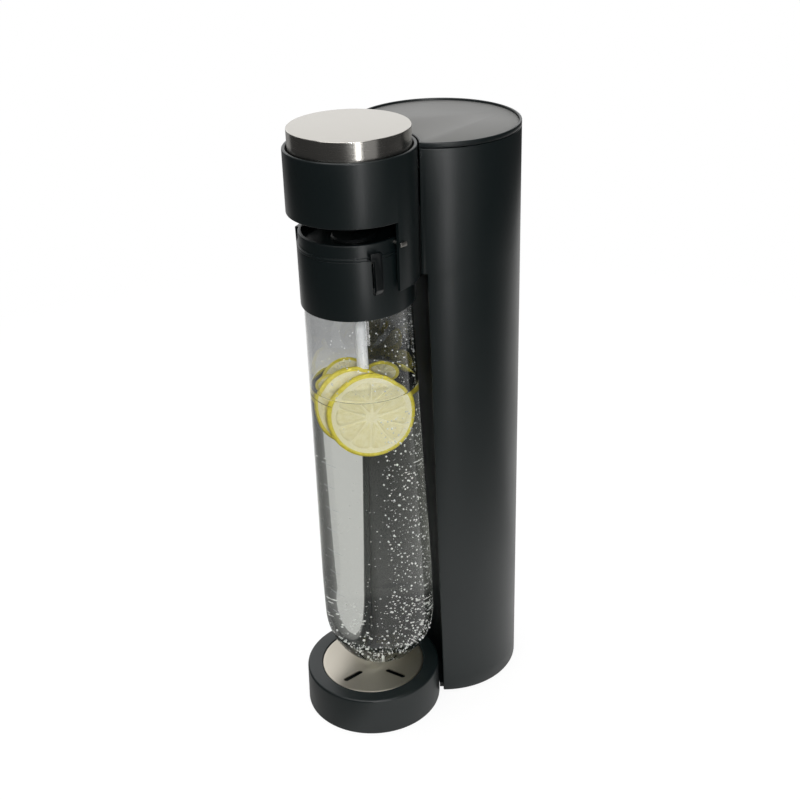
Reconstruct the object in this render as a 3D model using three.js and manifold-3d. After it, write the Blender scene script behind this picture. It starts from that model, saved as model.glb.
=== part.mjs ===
// A free-standing sparkling water maker.
// A round column at the back hides the gas cylinder. A round head at the front carries a
// steel push cap. Below the head a tilting holder hangs the clear bottle over a round
// drip tray with a slotted steel plate.
//
// Lengths are in millimetres. +Z is up, the front is -Y, and the origin is at the middle
// of the footprint, on the table.

import * as THREE from "three";
import { mergeVertices } from "three/addons/utils/BufferGeometryUtils.js";
import Module from "manifold-3d";

const wasm = await Module();
wasm.setup();

// Driving dimensions

// clearances
const seatGap = 0.3; // two pieces that touch
const runGap = 0.4; // a piece that slides in another
const pinGap = 0.15; // a pin that turns in its bore
const overrun = 2; // how far a cut runs past the face it opens
const tableGap = 0.8; // the covers' lower edges above the table
const weldTolerance = 0.0005;

// facets
const roundSides = 36;
const bottleSides = 30;
const smallSides = 12;
const screwSides = 12;
const hexSides = 6;
const pipeSides = 6;
const wireSides = 5;
const bendSteps = 3;
const domeSteps = 6;

// column
const columnRadius = 56.7;
const columnHeight = 434.2;
const sleeveWall = 2.2;
const sleeveFootEdge = 0.9; // chamfer round the sleeve's foot
const sleeveHeadGap = 0.9;
const lidRimHeight = 3.3;
const lidRimWidth = 1.7;
const lidSeam = 0.5;
const lidSinkDepth = 1.3;
const lidLipDepth = 5;
const lidLipWall = 1.8;
const lidInlayThickness = 0.8;

// head
const headRadius = 42.7;
const headHeight = 41.9;
const headWall = 2.4;
const headLip = 1.1;
const skirtLength = 45.8;
const guideLedgeWidth = 2;
const guideLedgeHeight = 3;
const guideLedgeDepth = 22.5; // its top face below the head's rim
const headFloorThickness = 2.4;

// push cap
const capGap = 1;
const capRise = 12.1; // above the head's rim
const capDepth = 24;
const capWall = 1.2;
const capEdge = 0.7;
const capTravel = 6;
const plungerFlange = 3.2;
const plungerFlangeMargin = 2.5;
const plungerStemRadius = 8.2;
const plungerTipRadius = 3.5;
const plungerTipLength = 2.7;
const guideThickness = 3;
const guideBossWall = 3.4;
const guideBossHeight = 6;
const springWire = 1.8;
const springRoom = 1.5; // between the coil and the guide's boss
const springTurns = 6;
const springStepsPerTurn = 8;

// lever, and the valve pin below it
const leverDrop = 26.2; // its top face below the head's rim
const leverWidth = 16;
const leverWall = 1.6;
const leverNoseDepth = 5.5;
const leverHeelDepth = 9;
const leverNoseReach = 9;
const leverHeelReach = 6;
const leverArm = 12; // from the valve pin to the lever's pivot
const leverPinRadius = 2;
const leverPinHeadRadius = 3.2;
const leverPinHeadThickness = 1;
const leverPinDrop = 4.6; // below the lever's top face
const bracketWall = 2;
const bracketHeadroom = 2.5;
const bracketDepth = 16;
const valvePinRadius = 2.5;

// holder that tilts, with the collar round the bottle's neck
const holderGap = 3; // between the collar and the head's skirt
const tiltRoom = 11.9; // between the holder's top and the head
const ringHeight = 10.6;
const ringStep = 1.3;
const ringWall = 2.6;
const ringEdge = 0.9;
const ringFlange = 1.7; // the thin flange at its foot, as wide as the collar
const ringDeckDepth = 6.8; // the deck's top face below the ring's top
const ringDeckThickness = 3;
const ringSpigotRadius = 26.6;
const ringSpigotWall = 2.1;
const ringSpigotLength = 2;
const collarHeight = 40.4;
const collarDraft = 0.8;
const collarWall = 1.5;
const collarDeck = 2.2;
const collarEdge = 0.4;
const pivotDrop = 2.9; // the hinge below the ring's top
const pivotSetback = 3.2; // the hinge behind the head's axis
const pivotPinRadius = 1.5;
const pivotPinDepth = 6; // into the ring
const pivotHeadLength = 5.6;
const pivotHeadHeight = 2.9;
const pivotHeadThickness = 1.1;
const leanDegrees = 1.7; // the holder rests leaning back by this much

// release keys at the collar's sides
const keySides = [-1, 1]; // left and right
const keyAzimuthDegrees = 69.3; // from the front
const keyWidth = 5.4;
const keyHeight = 29.4;
const keyStandout = 5; // from the collar to its outer face
const keyThickness = 4;
const keyTopRise = 6.2; // above the collar's shoulder
const keyHookWidth = 2.5;
const keyHookHeight = 4.8;
const keyEndSlope = 4.4; // its foot slopes back towards the collar over this height
const keyEndDepth = 2.8;
const keyTravel = 2;
const keyStemWidth = 4;
const keyStemHeight = 9;
const keyStemDrop = 8.2; // the stem's top below the collar's shoulder
const keyStopWidth = 10.4;
const keyStopHeight = 14;
const keyStopThickness = 1.5;

// catch ring that holds the bottle's flange
const catchRingRadius = 26.6;
const catchRingWall = 2.4;
const catchRingHeight = 6;
const catchWidth = 14;
const catchThickness = 2.7;
const ribThickness = 3;
const ribCount = 4;
const ribStartDegrees = 45; // from the front

// nozzle
const nozzleRadius = 12;
const nozzleFlangeMargin = 3;
const nozzleFlange = 2.1;
const nozzleSpigotRadius = 5.6;
const nozzleSpigotLength = 9;
const nozzleBore = 1.6;
const tubeRadius = 4.3;
const tubeTaper = 0.5;
const tubeLength = 118;
const tubeBore = 2.4;
const sealThickness = 1.4;

// bottle
const bottleGap = 0.4; // between its shoulder and the collar
const bottleSwell = 4.4; // how much wider the belly is than the shoulder
const bottleWall = 1.1;
const bottleTrayGap = 1.1;
const bottleDomeHeight = 46;
const bottleBellyHeight = 76;
const bottleShoulderDrop = 3.4; // the shoulder starts this far below the collar
const bottleShoulderHeight = 23;
const bottleNeckRadius = 16.4;
const bottleNeckWall = 3.2;
const bottleFinishHeight = 10;
const bottleFlangeRadius = 19.5;
const bottleFlangeHeight = 2.6;
const bottleDimpleRadius = 9;
const bottleDimpleDepth = 2;

// recess in the column's front
const recessGap = 6.1; // round the bottle's belly
const spineSetback = 0.6; // the spine lies this far behind the sleeve's edge
const spineWall = 2.5;
const spineBack = 5; // how far the spine's sides run behind the column's axis

// drip tray
const trayRadius = 50;
const trayDraft = 0.6;
const trayHeight = 30.5;
const trayEdge = 1.6;
const trayWall = 2.4;
const trayMouthRadius = 38.9;
const trayLedgeWidth = 3;
const trayWellFloor = 9;
const trayFootGap = 0.5;
const plateGap = 0.4;
const plateThickness = 1;
const plateRimDrop = 0.5; // the plate's rim below the tray's top
const plateDish = 4.6;
const plateLipWidth = 2;
const plateTurnDegrees = 5;
const slotCount = 4;
const slotInner = 13;
const slotLength = 19;
const slotWidth = 2.6;

// foot plate
const footHeight = 2;
const footRadius = 6;
const footPlateThickness = 3.7;
const tongueWidth = 56;
const tongueReach = 30; // in front of the head's axis
const tonguePadInset = 14;

// gas cylinder and valve
const cylinderRadius = 30;
const cylinderBackRoom = 2.5; // between it and the sleeve's back
const cylinderFrontRoom = 8.3; // between it and the spine, at the foot
const cylinderPad = 2;
const cylinderPadRadius = 20;
const cylinderBaseEdge = 5;
const cylinderWall = 3.2;
const cylinderShoulder = 38;
const cylinderNeckRadius = 12.5;
const cylinderNeckHeight = 8;
const cylinderMouth = 5.2;
const valveCollarRadius = 14;
const valveCollarHeight = 5;
const valveThreadRadius = 10.5;
const valveThreadHeight = 18.5;
const valveBoreRadius = 3.3;
const valveBoreDepth = 10;
const valveSealThickness = 1.5;
const blockRadius = 17;
const blockFlangeRadius = 22.5;
const blockFlangeHeight = 6;
const blockRoof = 13.4; // solid metal above the threaded bore
const portRadius = 5;
const portReach = 5;
const portDrop = 7; // the ports' axis below the flange
const reliefRadius = 4.6;
const reliefLength = 9;
const frameThickness = 5;
const frameMargin = 0.9;
const clampHeight = 14;
const clampWall = 2.2;
const clampHeightShare = 0.55; // of the column's height
const clampOpeningDegrees = 130;
const pipeRadius = 1.4;
const pipeEntryDegrees = 28.6; // from the head's back, where the pipe enters
const pipeArcPoints = 4;

// screws
const screwRadius = 1.6;
const screwHeadRadius = 3;
const screwHeadHeight = 1.8;
const screwLength = 8;
const footScrewSpread = 34; // sideways, between the two front screws

// Sizes that follow from the driving dimensions

const headTop = columnHeight;
const headBottom = headTop - headHeight;
const headInner = headRadius - headWall;
const skirtBottom = headBottom - skirtLength;
const headFloorTop = headBottom + seatGap + headFloorThickness;
const ledgeTop = headTop - guideLedgeDepth;

const capRadius = headInner - capGap;
const capTop = headTop + capRise;
const capBottom = capTop - capDepth;
const guideBottom = ledgeTop + seatGap;
const guideTop = guideBottom + guideThickness;
const flangeTop = capTop - capWall - seatGap;
const flangeBottom = flangeTop - plungerFlange;
const leverTop = headTop - leverDrop;

const ringTop = headBottom - tiltRoom;
const shoulderTop = ringTop - ringHeight;
const collarBottom = shoulderTop - collarHeight;
const collarRadius = headInner - holderGap;
const collarFootRadius = collarRadius + collarDraft;
const ringRadius = collarRadius - ringStep;
const ringDeckTop = ringTop - ringDeckDepth;
const ringDeckBottom = ringDeckTop - ringDeckThickness;
const pivotHeight = ringTop - pivotDrop;
const lean = THREE.MathUtils.degToRad(leanDegrees);
const keyOuter = collarRadius + keyStandout;
const keyInner = keyOuter - keyThickness;
const keyTop = shoulderTop + keyTopRise;
const keyBottom = keyTop - keyHeight;
const keyHookBottom = keyTop - keyHookHeight;

const bottleTop = ringDeckBottom - sealThickness - 2 * seatGap;
const flangeRest = bottleTop - bottleFinishHeight - bottleFlangeHeight;
const bottleShoulderRadius = collarFootRadius - collarWall - bottleGap;
const bottleShoulderStart = collarBottom - bottleShoulderDrop;
const bottleBellyRadius = bottleShoulderRadius + bottleSwell;
const bottleBottom = trayHeight + bottleTrayGap;
const recessRadius = bottleBellyRadius + recessGap;

const footPlateBottom = footHeight + seatGap;
const footPlateTop = footPlateBottom + footPlateThickness;
const spineBottom = footPlateTop + seatGap;
const sleeveInner = columnRadius - sleeveWall;
const innerRadius = sleeveInner - seatGap;
const lidBottom = columnHeight - lidRimHeight;
const sleeveTop = lidBottom - lidSeam;
// The recess and the cylinder behind it set how far the head stands in front of the
// column. The leaning bottle comes closest to the cylinder at the foot.
const cylinderSetback = sleeveInner - cylinderBackRoom - cylinderRadius;
const footSwing = (pivotHeight - spineBottom) * Math.tan(lean);
const recessReach = recessRadius + spineSetback + spineWall + footSwing;
const axisSpacing = recessReach + cylinderFrontRoom + cylinderRadius - cylinderSetback;
const trayFootRadius = trayRadius + trayDraft;
const depth = trayFootRadius + axisSpacing + columnRadius;
const headY = trayFootRadius - depth / 2;
const columnY = headY + axisSpacing;
const cylinderY = columnY + cylinderSetback;
const leverPivotY = cylinderY + leverArm;

const frameBottom = headBottom - frameThickness - seatGap;
const frameTop = frameBottom + frameThickness;
const spineTop = frameBottom - seatGap;
const blockTop = frameBottom - seatGap;
const blockBoreTop = blockTop - blockRoof;
const valveTop = blockBoreTop - valveSealThickness - 2 * seatGap;
const valveBottom = valveTop - valveThreadHeight - valveCollarHeight;
const cylinderTop = valveBottom - seatGap;
const cylinderBottom = footPlateTop + cylinderPad + 2 * seatGap;
const blockBottom = valveTop - valveThreadHeight + seatGap;
const portHeight = blockTop - blockFlangeHeight - portDrop;
const pipeEntry = THREE.MathUtils.degToRad(pipeEntryDegrees);
const leverPinHeight = leverTop - leverPinDrop;

// Tools of the trade

const xAxis = new THREE.Vector3(1, 0, 0);
const yAxis = new THREE.Vector3(0, 1, 0);
const zAxis = new THREE.Vector3(0, 0, 1);

// A closed geometry as a solid, with its shared vertices merged and its faces outwards.
function solid(geometry) {
  const bare = geometry.clone();
  bare.deleteAttribute("normal");
  bare.deleteAttribute("uv");
  const merged = mergeVertices(bare, weldTolerance);
  const at = merged.attributes.position.array;
  const corner = (i) => new THREE.Vector3(at[3 * i], at[3 * i + 1], at[3 * i + 2]);
  const faces = [];
  let volume = 0;
  for (let i = 0; i < merged.index.count; i += 3) {
    const [a, b, c] = [0, 1, 2].map((k) => merged.index.getX(i + k));
    if (a === b || b === c || c === a) continue;
    faces.push([a, b, c]);
    volume += corner(a).dot(corner(b).cross(corner(c)));
  }
  const triVerts = faces.flatMap(([a, b, c]) => (volume > 0 ? [a, b, c] : [a, c, b]));
  return new wasm.Manifold(
    new wasm.Mesh({
      numProp: 3,
      vertProperties: new Float32Array(at),
      triVerts: new Uint32Array(triVerts),
    })
  );
}

// A solid back as a geometry.
function geometryOf(body) {
  const { vertProperties, triVerts } = body.getMesh();
  const geometry = new THREE.BufferGeometry();
  geometry.setAttribute("position", new THREE.BufferAttribute(vertProperties, 3));
  geometry.setIndex(new THREE.BufferAttribute(triVerts, 1));
  geometry.computeVertexNormals();
  return geometry;
}

// A profile of [radius, height] points turned round the Z axis. A profile that doesn't
// start and end on the axis is closed on itself.
function revolve(profile, sides = roundSides) {
  const points = profile.map(([r, z]) => new THREE.Vector2(r, z));
  const onAxis = profile[0][0] === 0 && profile[profile.length - 1][0] === 0;
  if (!onAxis) points.push(points[0].clone());
  return solid(new THREE.LatheGeometry(points, sides).rotateX(Math.PI / 2));
}

function disc(radius, bottom, top, sides = roundSides) {
  const profile = [[0, bottom], [radius, bottom], [radius, top], [0, top]];
  return revolve(profile, sides);
}

function pipe(outer, inner, bottom, top, sides = roundSides) {
  const profile = [[inner, bottom], [outer, bottom], [outer, top], [inner, top]];
  return revolve(profile, sides);
}

function block(low, high) {
  const size = high.map((v, i) => v - low[i]);
  const middle = high.map((v, i) => (v + low[i]) / 2);
  return solid(new THREE.BoxGeometry(...size).translate(...middle));
}

// A flat outline in X and Y, raised from bottom to top.
function slab(shape, bottom, top, curveSegments = smallSides) {
  const options = { depth: top - bottom, bevelEnabled: false, curveSegments };
  return solid(new THREE.ExtrudeGeometry(shape, options).translate(0, 0, bottom));
}

// A flat outline in Y and Z, drawn out along X from left to right.
function sideways(shape, left, right) {
  const drawn = new THREE.ExtrudeGeometry(shape, { depth: right - left, bevelEnabled: false });
  drawn.applyMatrix4(new THREE.Matrix4().makeBasis(yAxis, zAxis, xAxis));
  return solid(drawn.translate(left, 0, 0));
}

// A rod along X, centred on the point (y, z).
function crossRod(radius, left, right, y, z, sides = smallSides) {
  const rod = new THREE.CylinderGeometry(radius, radius, right - left, sides);
  return solid(rod.rotateZ(Math.PI / 2).translate((left + right) / 2, y, z));
}

// The outline of a round rod or wire.
function roundSection(radius, sides) {
  const points = [];
  for (let i = 0; i < sides; i += 1) {
    const angle = (2 * Math.PI * i) / sides;
    points.push(new THREE.Vector2(radius * Math.cos(angle), radius * Math.sin(angle)));
  }
  return new THREE.Shape(points);
}

// Points of a quarter round that turns from one direction into the next.
function quarter(centre, radii, from, to, steps = bendSteps) {
  const points = [];
  for (let i = 0; i <= steps; i += 1) {
    const angle = THREE.MathUtils.degToRad(from + ((to - from) * i) / steps);
    const r = centre[0] + radii[0] * Math.cos(angle);
    points.push([r, centre[1] + radii[1] * Math.sin(angle)]);
  }
  return points;
}

// A turn round Z by an azimuth that is counted from the front, -Y, towards +X.
function atAzimuth(body, degrees) {
  return body.rotate([0, 0, degrees]);
}

// The leaning line of the bottle's axis, for a body made upright round the head's axis.
function leaned(body) {
  return body
    .translate([0, -pivotSetback, -pivotHeight])
    .rotate([leanDegrees, 0, 0])
    .translate([0, pivotSetback, pivotHeight]);
}

// The space that the bottle swings in, in the column's frame.
function bottleSpace(radius, top = skirtBottom) {
  const reach = axisSpacing + columnRadius;
  const room = block([-reach, -reach, -overrun], [reach, reach, top]);
  const swing = leaned(disc(radius, -overrun - reach, headTop));
  return swing.intersect(room).translate([0, -axisSpacing, 0]);
}

// The space that the head and its skirt stand in, in the column's frame.
function headSpace(radius, bottom = skirtBottom - overrun) {
  return disc(radius, bottom, columnHeight + overrun).translate([0, -axisSpacing, 0]);
}

const group = new THREE.Group();
group.name = "sparkling_water_maker";

const columnFrame = new THREE.Group();
columnFrame.position.set(0, columnY, 0);
const cylinderFrame = new THREE.Group();
cylinderFrame.position.set(0, cylinderY, 0);
const headFrame = new THREE.Group();
headFrame.position.set(0, headY, 0);
const leanFrame = new THREE.Group();
leanFrame.position.set(0, headY + pivotSetback, pivotHeight);
leanFrame.rotation.set(lean, 0, 0);
const holderFrame = new THREE.Group();
holderFrame.position.set(0, -pivotSetback, -pivotHeight);
leanFrame.add(holderFrame);
group.add(columnFrame, cylinderFrame, headFrame, leanFrame);

const finishes = {
  satinBlack: { color: 0x1f2123, roughness: 0.55, metalness: 0 },
  plasticBlack: { color: 0x17191a, roughness: 0.65, metalness: 0 },
  inlayGrey: { color: 0x55575a, roughness: 0.5, metalness: 0 },
  brushedSteel: { color: 0xb9b6b0, roughness: 0.35, metalness: 1 },
  aluminium: { color: 0x9fa1a5, roughness: 0.45, metalness: 1 },
  brass: { color: 0xb08d4a, roughness: 0.4, metalness: 1 },
  rubber: { color: 0x141414, roughness: 0.9, metalness: 0 },
  tubeGrey: { color: 0xc9ccd0, roughness: 0.5, metalness: 0 },
  clearPet: { color: 0xe6f0f2, roughness: 0.05, metalness: 0, transparent: true, opacity: 0.35 },
};

function add(frame, name, body, finish) {
  const material = new THREE.MeshStandardMaterial(finishes[finish]);
  const mesh = new THREE.Mesh(geometryOf(body), material);
  mesh.name = name;
  frame.add(mesh);
}

// Column

// The C-shaped sleeve is cut open along the leaning bottle's space and round the head.
function columnSleeve() {
  const wall = revolve([
    [sleeveInner, tableGap],
    [columnRadius - sleeveFootEdge, tableGap],
    [columnRadius, tableGap + sleeveFootEdge],
    [columnRadius, sleeveTop],
    [sleeveInner, sleeveTop],
  ]);
  return wall
    .subtract(bottleSpace(recessRadius))
    .subtract(headSpace(headRadius + sleeveHeadGap));
}

// The lid is a round plate with a raised rim and a lip that drops into the sleeve.
function columnLid() {
  const headCut = headRadius + sleeveHeadGap;
  const inlayFloor = columnHeight - lidSinkDepth - lidInlayThickness - seatGap;
  const plate = disc(columnRadius, lidBottom, columnHeight).subtract(headSpace(headCut));
  const sink = disc(columnRadius - lidRimWidth, inlayFloor, columnHeight + overrun);
  const rimRoom = headSpace(headCut + lidRimWidth);
  const lip = pipe(innerRadius, innerRadius - lidLipWall, lidBottom - lidLipDepth, inlayFloor);
  return plate.subtract(sink.subtract(rimRoom)).add(lip.subtract(rimRoom));
}

// The grey inlay lies in the lid's sunk face.
function lidInlay() {
  const top = columnHeight - lidSinkDepth;
  const edge = lidRimWidth + seatGap;
  const sheet = disc(columnRadius - edge, top - lidInlayThickness, top);
  return sheet.subtract(headSpace(headRadius + sleeveHeadGap + edge));
}

// The spine closes the column's front. Its hollow face follows the bottle, and its upper
// part wraps the head's skirt.
function spine() {
  const outer = disc(innerRadius, spineBottom, spineTop);
  const front = block(
    [-columnRadius, -columnRadius, spineBottom - overrun],
    [columnRadius, spineBack, spineTop + overrun]
  );
  const face = recessRadius + spineSetback;
  const skirtFace = headRadius + seatGap;
  const hollow = disc(innerRadius - spineWall, spineBottom + spineWall, spineTop + overrun)
    .subtract(bottleSpace(face + spineWall, skirtBottom + spineWall))
    .subtract(headSpace(skirtFace + spineWall, skirtBottom));
  const body = outer.intersect(front).subtract(hollow);
  const cylinderRoom = disc(cylinderRadius + runGap, spineBottom - overrun, columnHeight);
  const screwHoleTop = spineBottom + spineWall + overrun;
  return body
    .subtract(cylinderRoom.translate([0, cylinderSetback, 0]))
    .subtract(bottleSpace(face))
    .subtract(headSpace(skirtFace))
    .subtract(footScrewPattern(screwRadius + seatGap, footPlateTop, screwHoleTop));
}

// Places for the four screws through the foot plate, in the column's frame.
function footScrewPlaces() {
  const frontX = footScrewSpread / 2;
  const frontY = footScrewFrontY();
  const backX = cylinderRadius + runGap + 2 * screwHeadRadius;
  return [
    [-frontX, frontY],
    [frontX, frontY],
    [-backX, 0],
    [backX, 0],
  ];
}

// The front pair sits midway between the spine's hollow face and the column's axis.
function footScrewFrontY() {
  return (recessReach - axisSpacing) / 2;
}

function footScrewPattern(radius, bottom, top) {
  const places = footScrewPlaces();
  const holes = places.map(([x, y]) => disc(radius, bottom, top, screwSides).translate([x, y, 0]));
  return wasm.Manifold.union(holes);
}

function footScrew([x, y]) {
  const headBottomZ = footPlateBottom + seatGap;
  const headTopZ = headBottomZ + screwHeadHeight;
  const shank = disc(screwRadius, headBottomZ, footPlateBottom + screwLength, screwSides);
  const head = disc(screwHeadRadius, headBottomZ, headTopZ, screwSides);
  return shank.add(head).translate([x, y, 0]);
}

// The foot plate fills the column's foot. Its tongue reaches forward under the drip tray.
function footPlate() {
  const round = disc(innerRadius, footPlateBottom, footPlateTop);
  const trayRoom = disc(trayFootRadius + runGap, -overrun, trayHeight);
  const half = tongueWidth / 2;
  const front = -axisSpacing - tongueReach;
  const outline = new THREE.Shape();
  outline.moveTo(-half, 0);
  outline.lineTo(-half, front + half / 2);
  outline.quadraticCurveTo(-half, front, -half / 2, front);
  outline.lineTo(half / 2, front);
  outline.quadraticCurveTo(half, front, half, front + half / 2);
  outline.lineTo(half, 0);
  const tongue = slab(outline, footPlateBottom, footPlateTop, bendSteps);
  const counterbores = footScrewPattern(
    screwHeadRadius + seatGap,
    footPlateBottom - overrun,
    footPlateBottom + screwHeadHeight + 2 * seatGap
  );
  const holes = footScrewPattern(screwRadius + seatGap, footPlateBottom, footPlateTop + overrun);
  return round
    .subtract(trayRoom.translate([0, -axisSpacing, 0]))
    .add(tongue)
    .subtract(counterbores)
    .subtract(holes);
}

// Places for the four round rubber feet, two under the column's back and two under the
// tongue, in the column's frame.
function footPlaces() {
  const backX = columnRadius / Math.SQRT2 - footRadius / 2;
  const frontX = tongueWidth / 2 - footRadius - tonguePadInset / 2;
  const frontY = -axisSpacing - tongueReach + tonguePadInset;
  return [
    [-frontX, frontY],
    [frontX, frontY],
    [-backX, columnRadius / 2],
    [backX, columnRadius / 2],
  ];
}

function rubberFoot([x, y]) {
  return disc(footRadius, 0, footHeight, smallSides).translate([x, y, 0]);
}

// Gas cylinder and valve

function gasCylinder() {
  const shoulderStart = cylinderTop - cylinderNeckHeight - cylinderShoulder;
  const neckBottom = cylinderTop - cylinderNeckHeight;
  const inner = cylinderRadius - cylinderWall;
  const rise = [neckBottom - shoulderStart, neckBottom - shoulderStart - cylinderWall];
  const outside = [
    [0, cylinderBottom],
    [cylinderRadius - cylinderBaseEdge, cylinderBottom],
    [cylinderRadius, cylinderBottom + cylinderBaseEdge],
    ...quarter(
      [cylinderNeckRadius, shoulderStart],
      [cylinderRadius - cylinderNeckRadius, rise[0]],
      0,
      90
    ),
    [cylinderNeckRadius, cylinderTop],
    [cylinderMouth, cylinderTop],
  ];
  const inside = [
    [cylinderMouth, neckBottom - cylinderWall],
    ...quarter([cylinderMouth, shoulderStart], [inner - cylinderMouth, rise[1]], 90, 0).slice(1),
    [inner, cylinderBottom + cylinderBaseEdge],
    [inner - cylinderBaseEdge, cylinderBottom + cylinderWall],
    [0, cylinderBottom + cylinderWall],
  ];
  return revolve([...outside, ...inside], bottleSides);
}

// The pad that the cylinder stands on.
function padUnderCylinder() {
  return disc(cylinderPadRadius, footPlateTop + seatGap, cylinderBottom - seatGap, smallSides);
}

function cylinderValve() {
  const threadBottom = valveBottom + valveCollarHeight;
  const profile = [
    [0, valveBottom],
    [valveCollarRadius, valveBottom],
    [valveCollarRadius, threadBottom],
    [valveThreadRadius, threadBottom],
    [valveThreadRadius, valveTop],
    [valveBoreRadius, valveTop],
    [valveBoreRadius, valveTop - valveBoreDepth],
    [0, valveTop - valveBoreDepth],
  ];
  return revolve(profile, smallSides);
}

function valveSeal() {
  const bottom = valveTop + seatGap;
  const top = bottom + valveSealThickness;
  return pipe(valveThreadRadius - seatGap, valveBoreRadius + seatGap, bottom, top, smallSides);
}

// The valve block takes the cylinder's thread from below. The gas leaves through the port
// on the left, and the relief valve closes the port on the right.
function valveBlock() {
  const bore = valveThreadRadius + seatGap;
  const profile = [
    [bore, blockBottom],
    [blockRadius, blockBottom],
    [blockRadius, blockTop - blockFlangeHeight],
    [blockFlangeRadius, blockTop - blockFlangeHeight],
    [blockFlangeRadius, blockTop],
    [valvePinRadius + pinGap, blockTop],
    [valvePinRadius + pinGap, blockBoreTop],
    [bore, blockBoreTop],
  ];
  const reach = blockRadius + portReach;
  const ports = crossRod(portRadius, -reach, reach, 0, portHeight);
  const core = disc(blockRadius - seatGap, blockBottom - overrun, blockTop, smallSides);
  const farReach = reach + overrun;
  const gasBore = crossRod(pipeRadius, -farReach, -valvePinRadius, 0, portHeight, pipeSides);
  const reliefBore = crossRod(reliefRadius / 2 + seatGap, blockRadius, farReach, 0, portHeight);
  return revolve(profile, 2 * smallSides)
    .add(ports.subtract(core))
    .subtract(gasBore)
    .subtract(reliefBore);
}

// A hexagon head with a round stem in the block's right port.
function reliefValve() {
  const face = blockRadius + portReach + seatGap;
  const middle = face + reliefLength / 2;
  const head = crossRod(reliefRadius, face, face + reliefLength, 0, portHeight, hexSides);
  const stem = crossRod(reliefRadius / 2, blockRadius + seatGap, middle, 0, portHeight);
  return head.add(stem);
}

// The frame is a crescent-shaped moulding on top of the spine. It carries the valve block
// from above and the lever's bracket on its top face.
function topFrame() {
  const plate = disc(innerRadius - frameMargin, frameBottom, frameTop);
  const head = headSpace(headRadius + seatGap);
  const below = frameBottom - overrun;
  const above = frameTop + overrun;
  const pinHole = disc(valvePinRadius + runGap, below, above, smallSides);
  const pipeHole = disc(pipeRadius + frameMargin, below, above, smallSides);
  const [x, y] = pipeHoleInFrame();
  return plate
    .subtract(head)
    .subtract(pinHole.translate([0, cylinderSetback, 0]))
    .subtract(pipeHole.translate([x, y, 0]));
}

function pipeHoleInFrame() {
  return [-(blockFlangeRadius + innerRadius) / 2, 0];
}

// A snap ring on an arm from the spine steadies the cylinder. It is open at the back.
function cylinderClamp() {
  const middle = columnHeight * clampHeightShare;
  const bottom = middle - clampHeight / 2;
  const top = middle + clampHeight / 2;
  const inner = cylinderRadius + seatGap;
  const ring = pipe(inner + clampWall, inner, bottom, top, bottleSides);
  const half = THREE.MathUtils.degToRad(clampOpeningDegrees / 2);
  const reach = (inner + clampWall) * 2;
  const mouth = new THREE.Shape();
  mouth.moveTo(0, 0);
  mouth.lineTo(reach * Math.sin(half), reach * Math.cos(half));
  mouth.lineTo(0, reach * 2);
  mouth.lineTo(-reach * Math.sin(half), reach * Math.cos(half));
  const opening = slab(mouth, bottom - overrun, top + overrun);
  const armHalf = cylinderRadius / 3;
  const spineBackFace = bottleSpace(recessRadius + spineSetback + spineWall + seatGap);
  const arm = block([-armHalf, -axisSpacing, bottom], [armHalf, -inner + clampWall, top])
    .subtract(disc(inner, bottom - overrun, top + overrun, bottleSides))
    .subtract(spineBackFace.translate([0, -cylinderSetback, 0]));
  return ring.subtract(opening).add(arm);
}

// Lever and valve pin

// A channel with its open side down. It is deeper at the heel, where its pivot pin passes.
function lever() {
  const nose = headY - leverNoseReach;
  const heel = leverPivotY + leverHeelReach;
  const outline = new THREE.Shape();
  outline.moveTo(nose, leverTop);
  outline.lineTo(nose, leverTop - leverNoseDepth);
  outline.lineTo(cylinderY - leverArm, leverTop - leverNoseDepth);
  outline.lineTo(cylinderY, leverTop - leverHeelDepth);
  outline.lineTo(heel, leverTop - leverHeelDepth);
  outline.lineTo(heel, leverTop);
  const half = leverWidth / 2;
  const inner = half - leverWall;
  const channel = block(
    [-inner, nose + leverWall, leverTop - leverHeelDepth - overrun],
    [inner, heel - leverWall, leverTop - leverWall]
  );
  const bore = leverPinRadius + pinGap;
  const pinHole = crossRod(bore, -leverWidth, leverWidth, leverPivotY, leverPinHeight);
  return sideways(outline, -half, half).subtract(channel).subtract(pinHole);
}

function leverBracket() {
  const inner = leverWidth / 2 + runGap;
  const outer = inner + bracketWall;
  const base = frameTop + seatGap;
  const top = leverPinHeight + leverPinRadius + bracketHeadroom;
  const back = leverPivotY + bracketDepth / 2;
  const front = leverPivotY - bracketDepth / 2;
  const outside = block([-outer, front, base], [outer, back, top]);
  const inside = block(
    [-inner, front - overrun, base + bracketWall],
    [inner, back + overrun, top + overrun]
  );
  const bore = leverPinRadius + seatGap;
  const hole = crossRod(bore, -leverWidth, leverWidth, leverPivotY, leverPinHeight);
  return outside.subtract(inside).subtract(hole);
}

function leverPin() {
  const reach = leverWidth / 2 + runGap + bracketWall;
  const head = reach + seatGap;
  const end = head + leverPinHeadThickness;
  const rod = crossRod(leverPinRadius, -head, head, leverPivotY, leverPinHeight);
  const cap = crossRod(leverPinHeadRadius, head, end, leverPivotY, leverPinHeight);
  return rod.add(cap);
}

function valvePin() {
  const bottom = valveTop - seatGap;
  const top = leverTop - leverWall - seatGap;
  return disc(valvePinRadius, bottom, top, smallSides);
}

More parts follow.
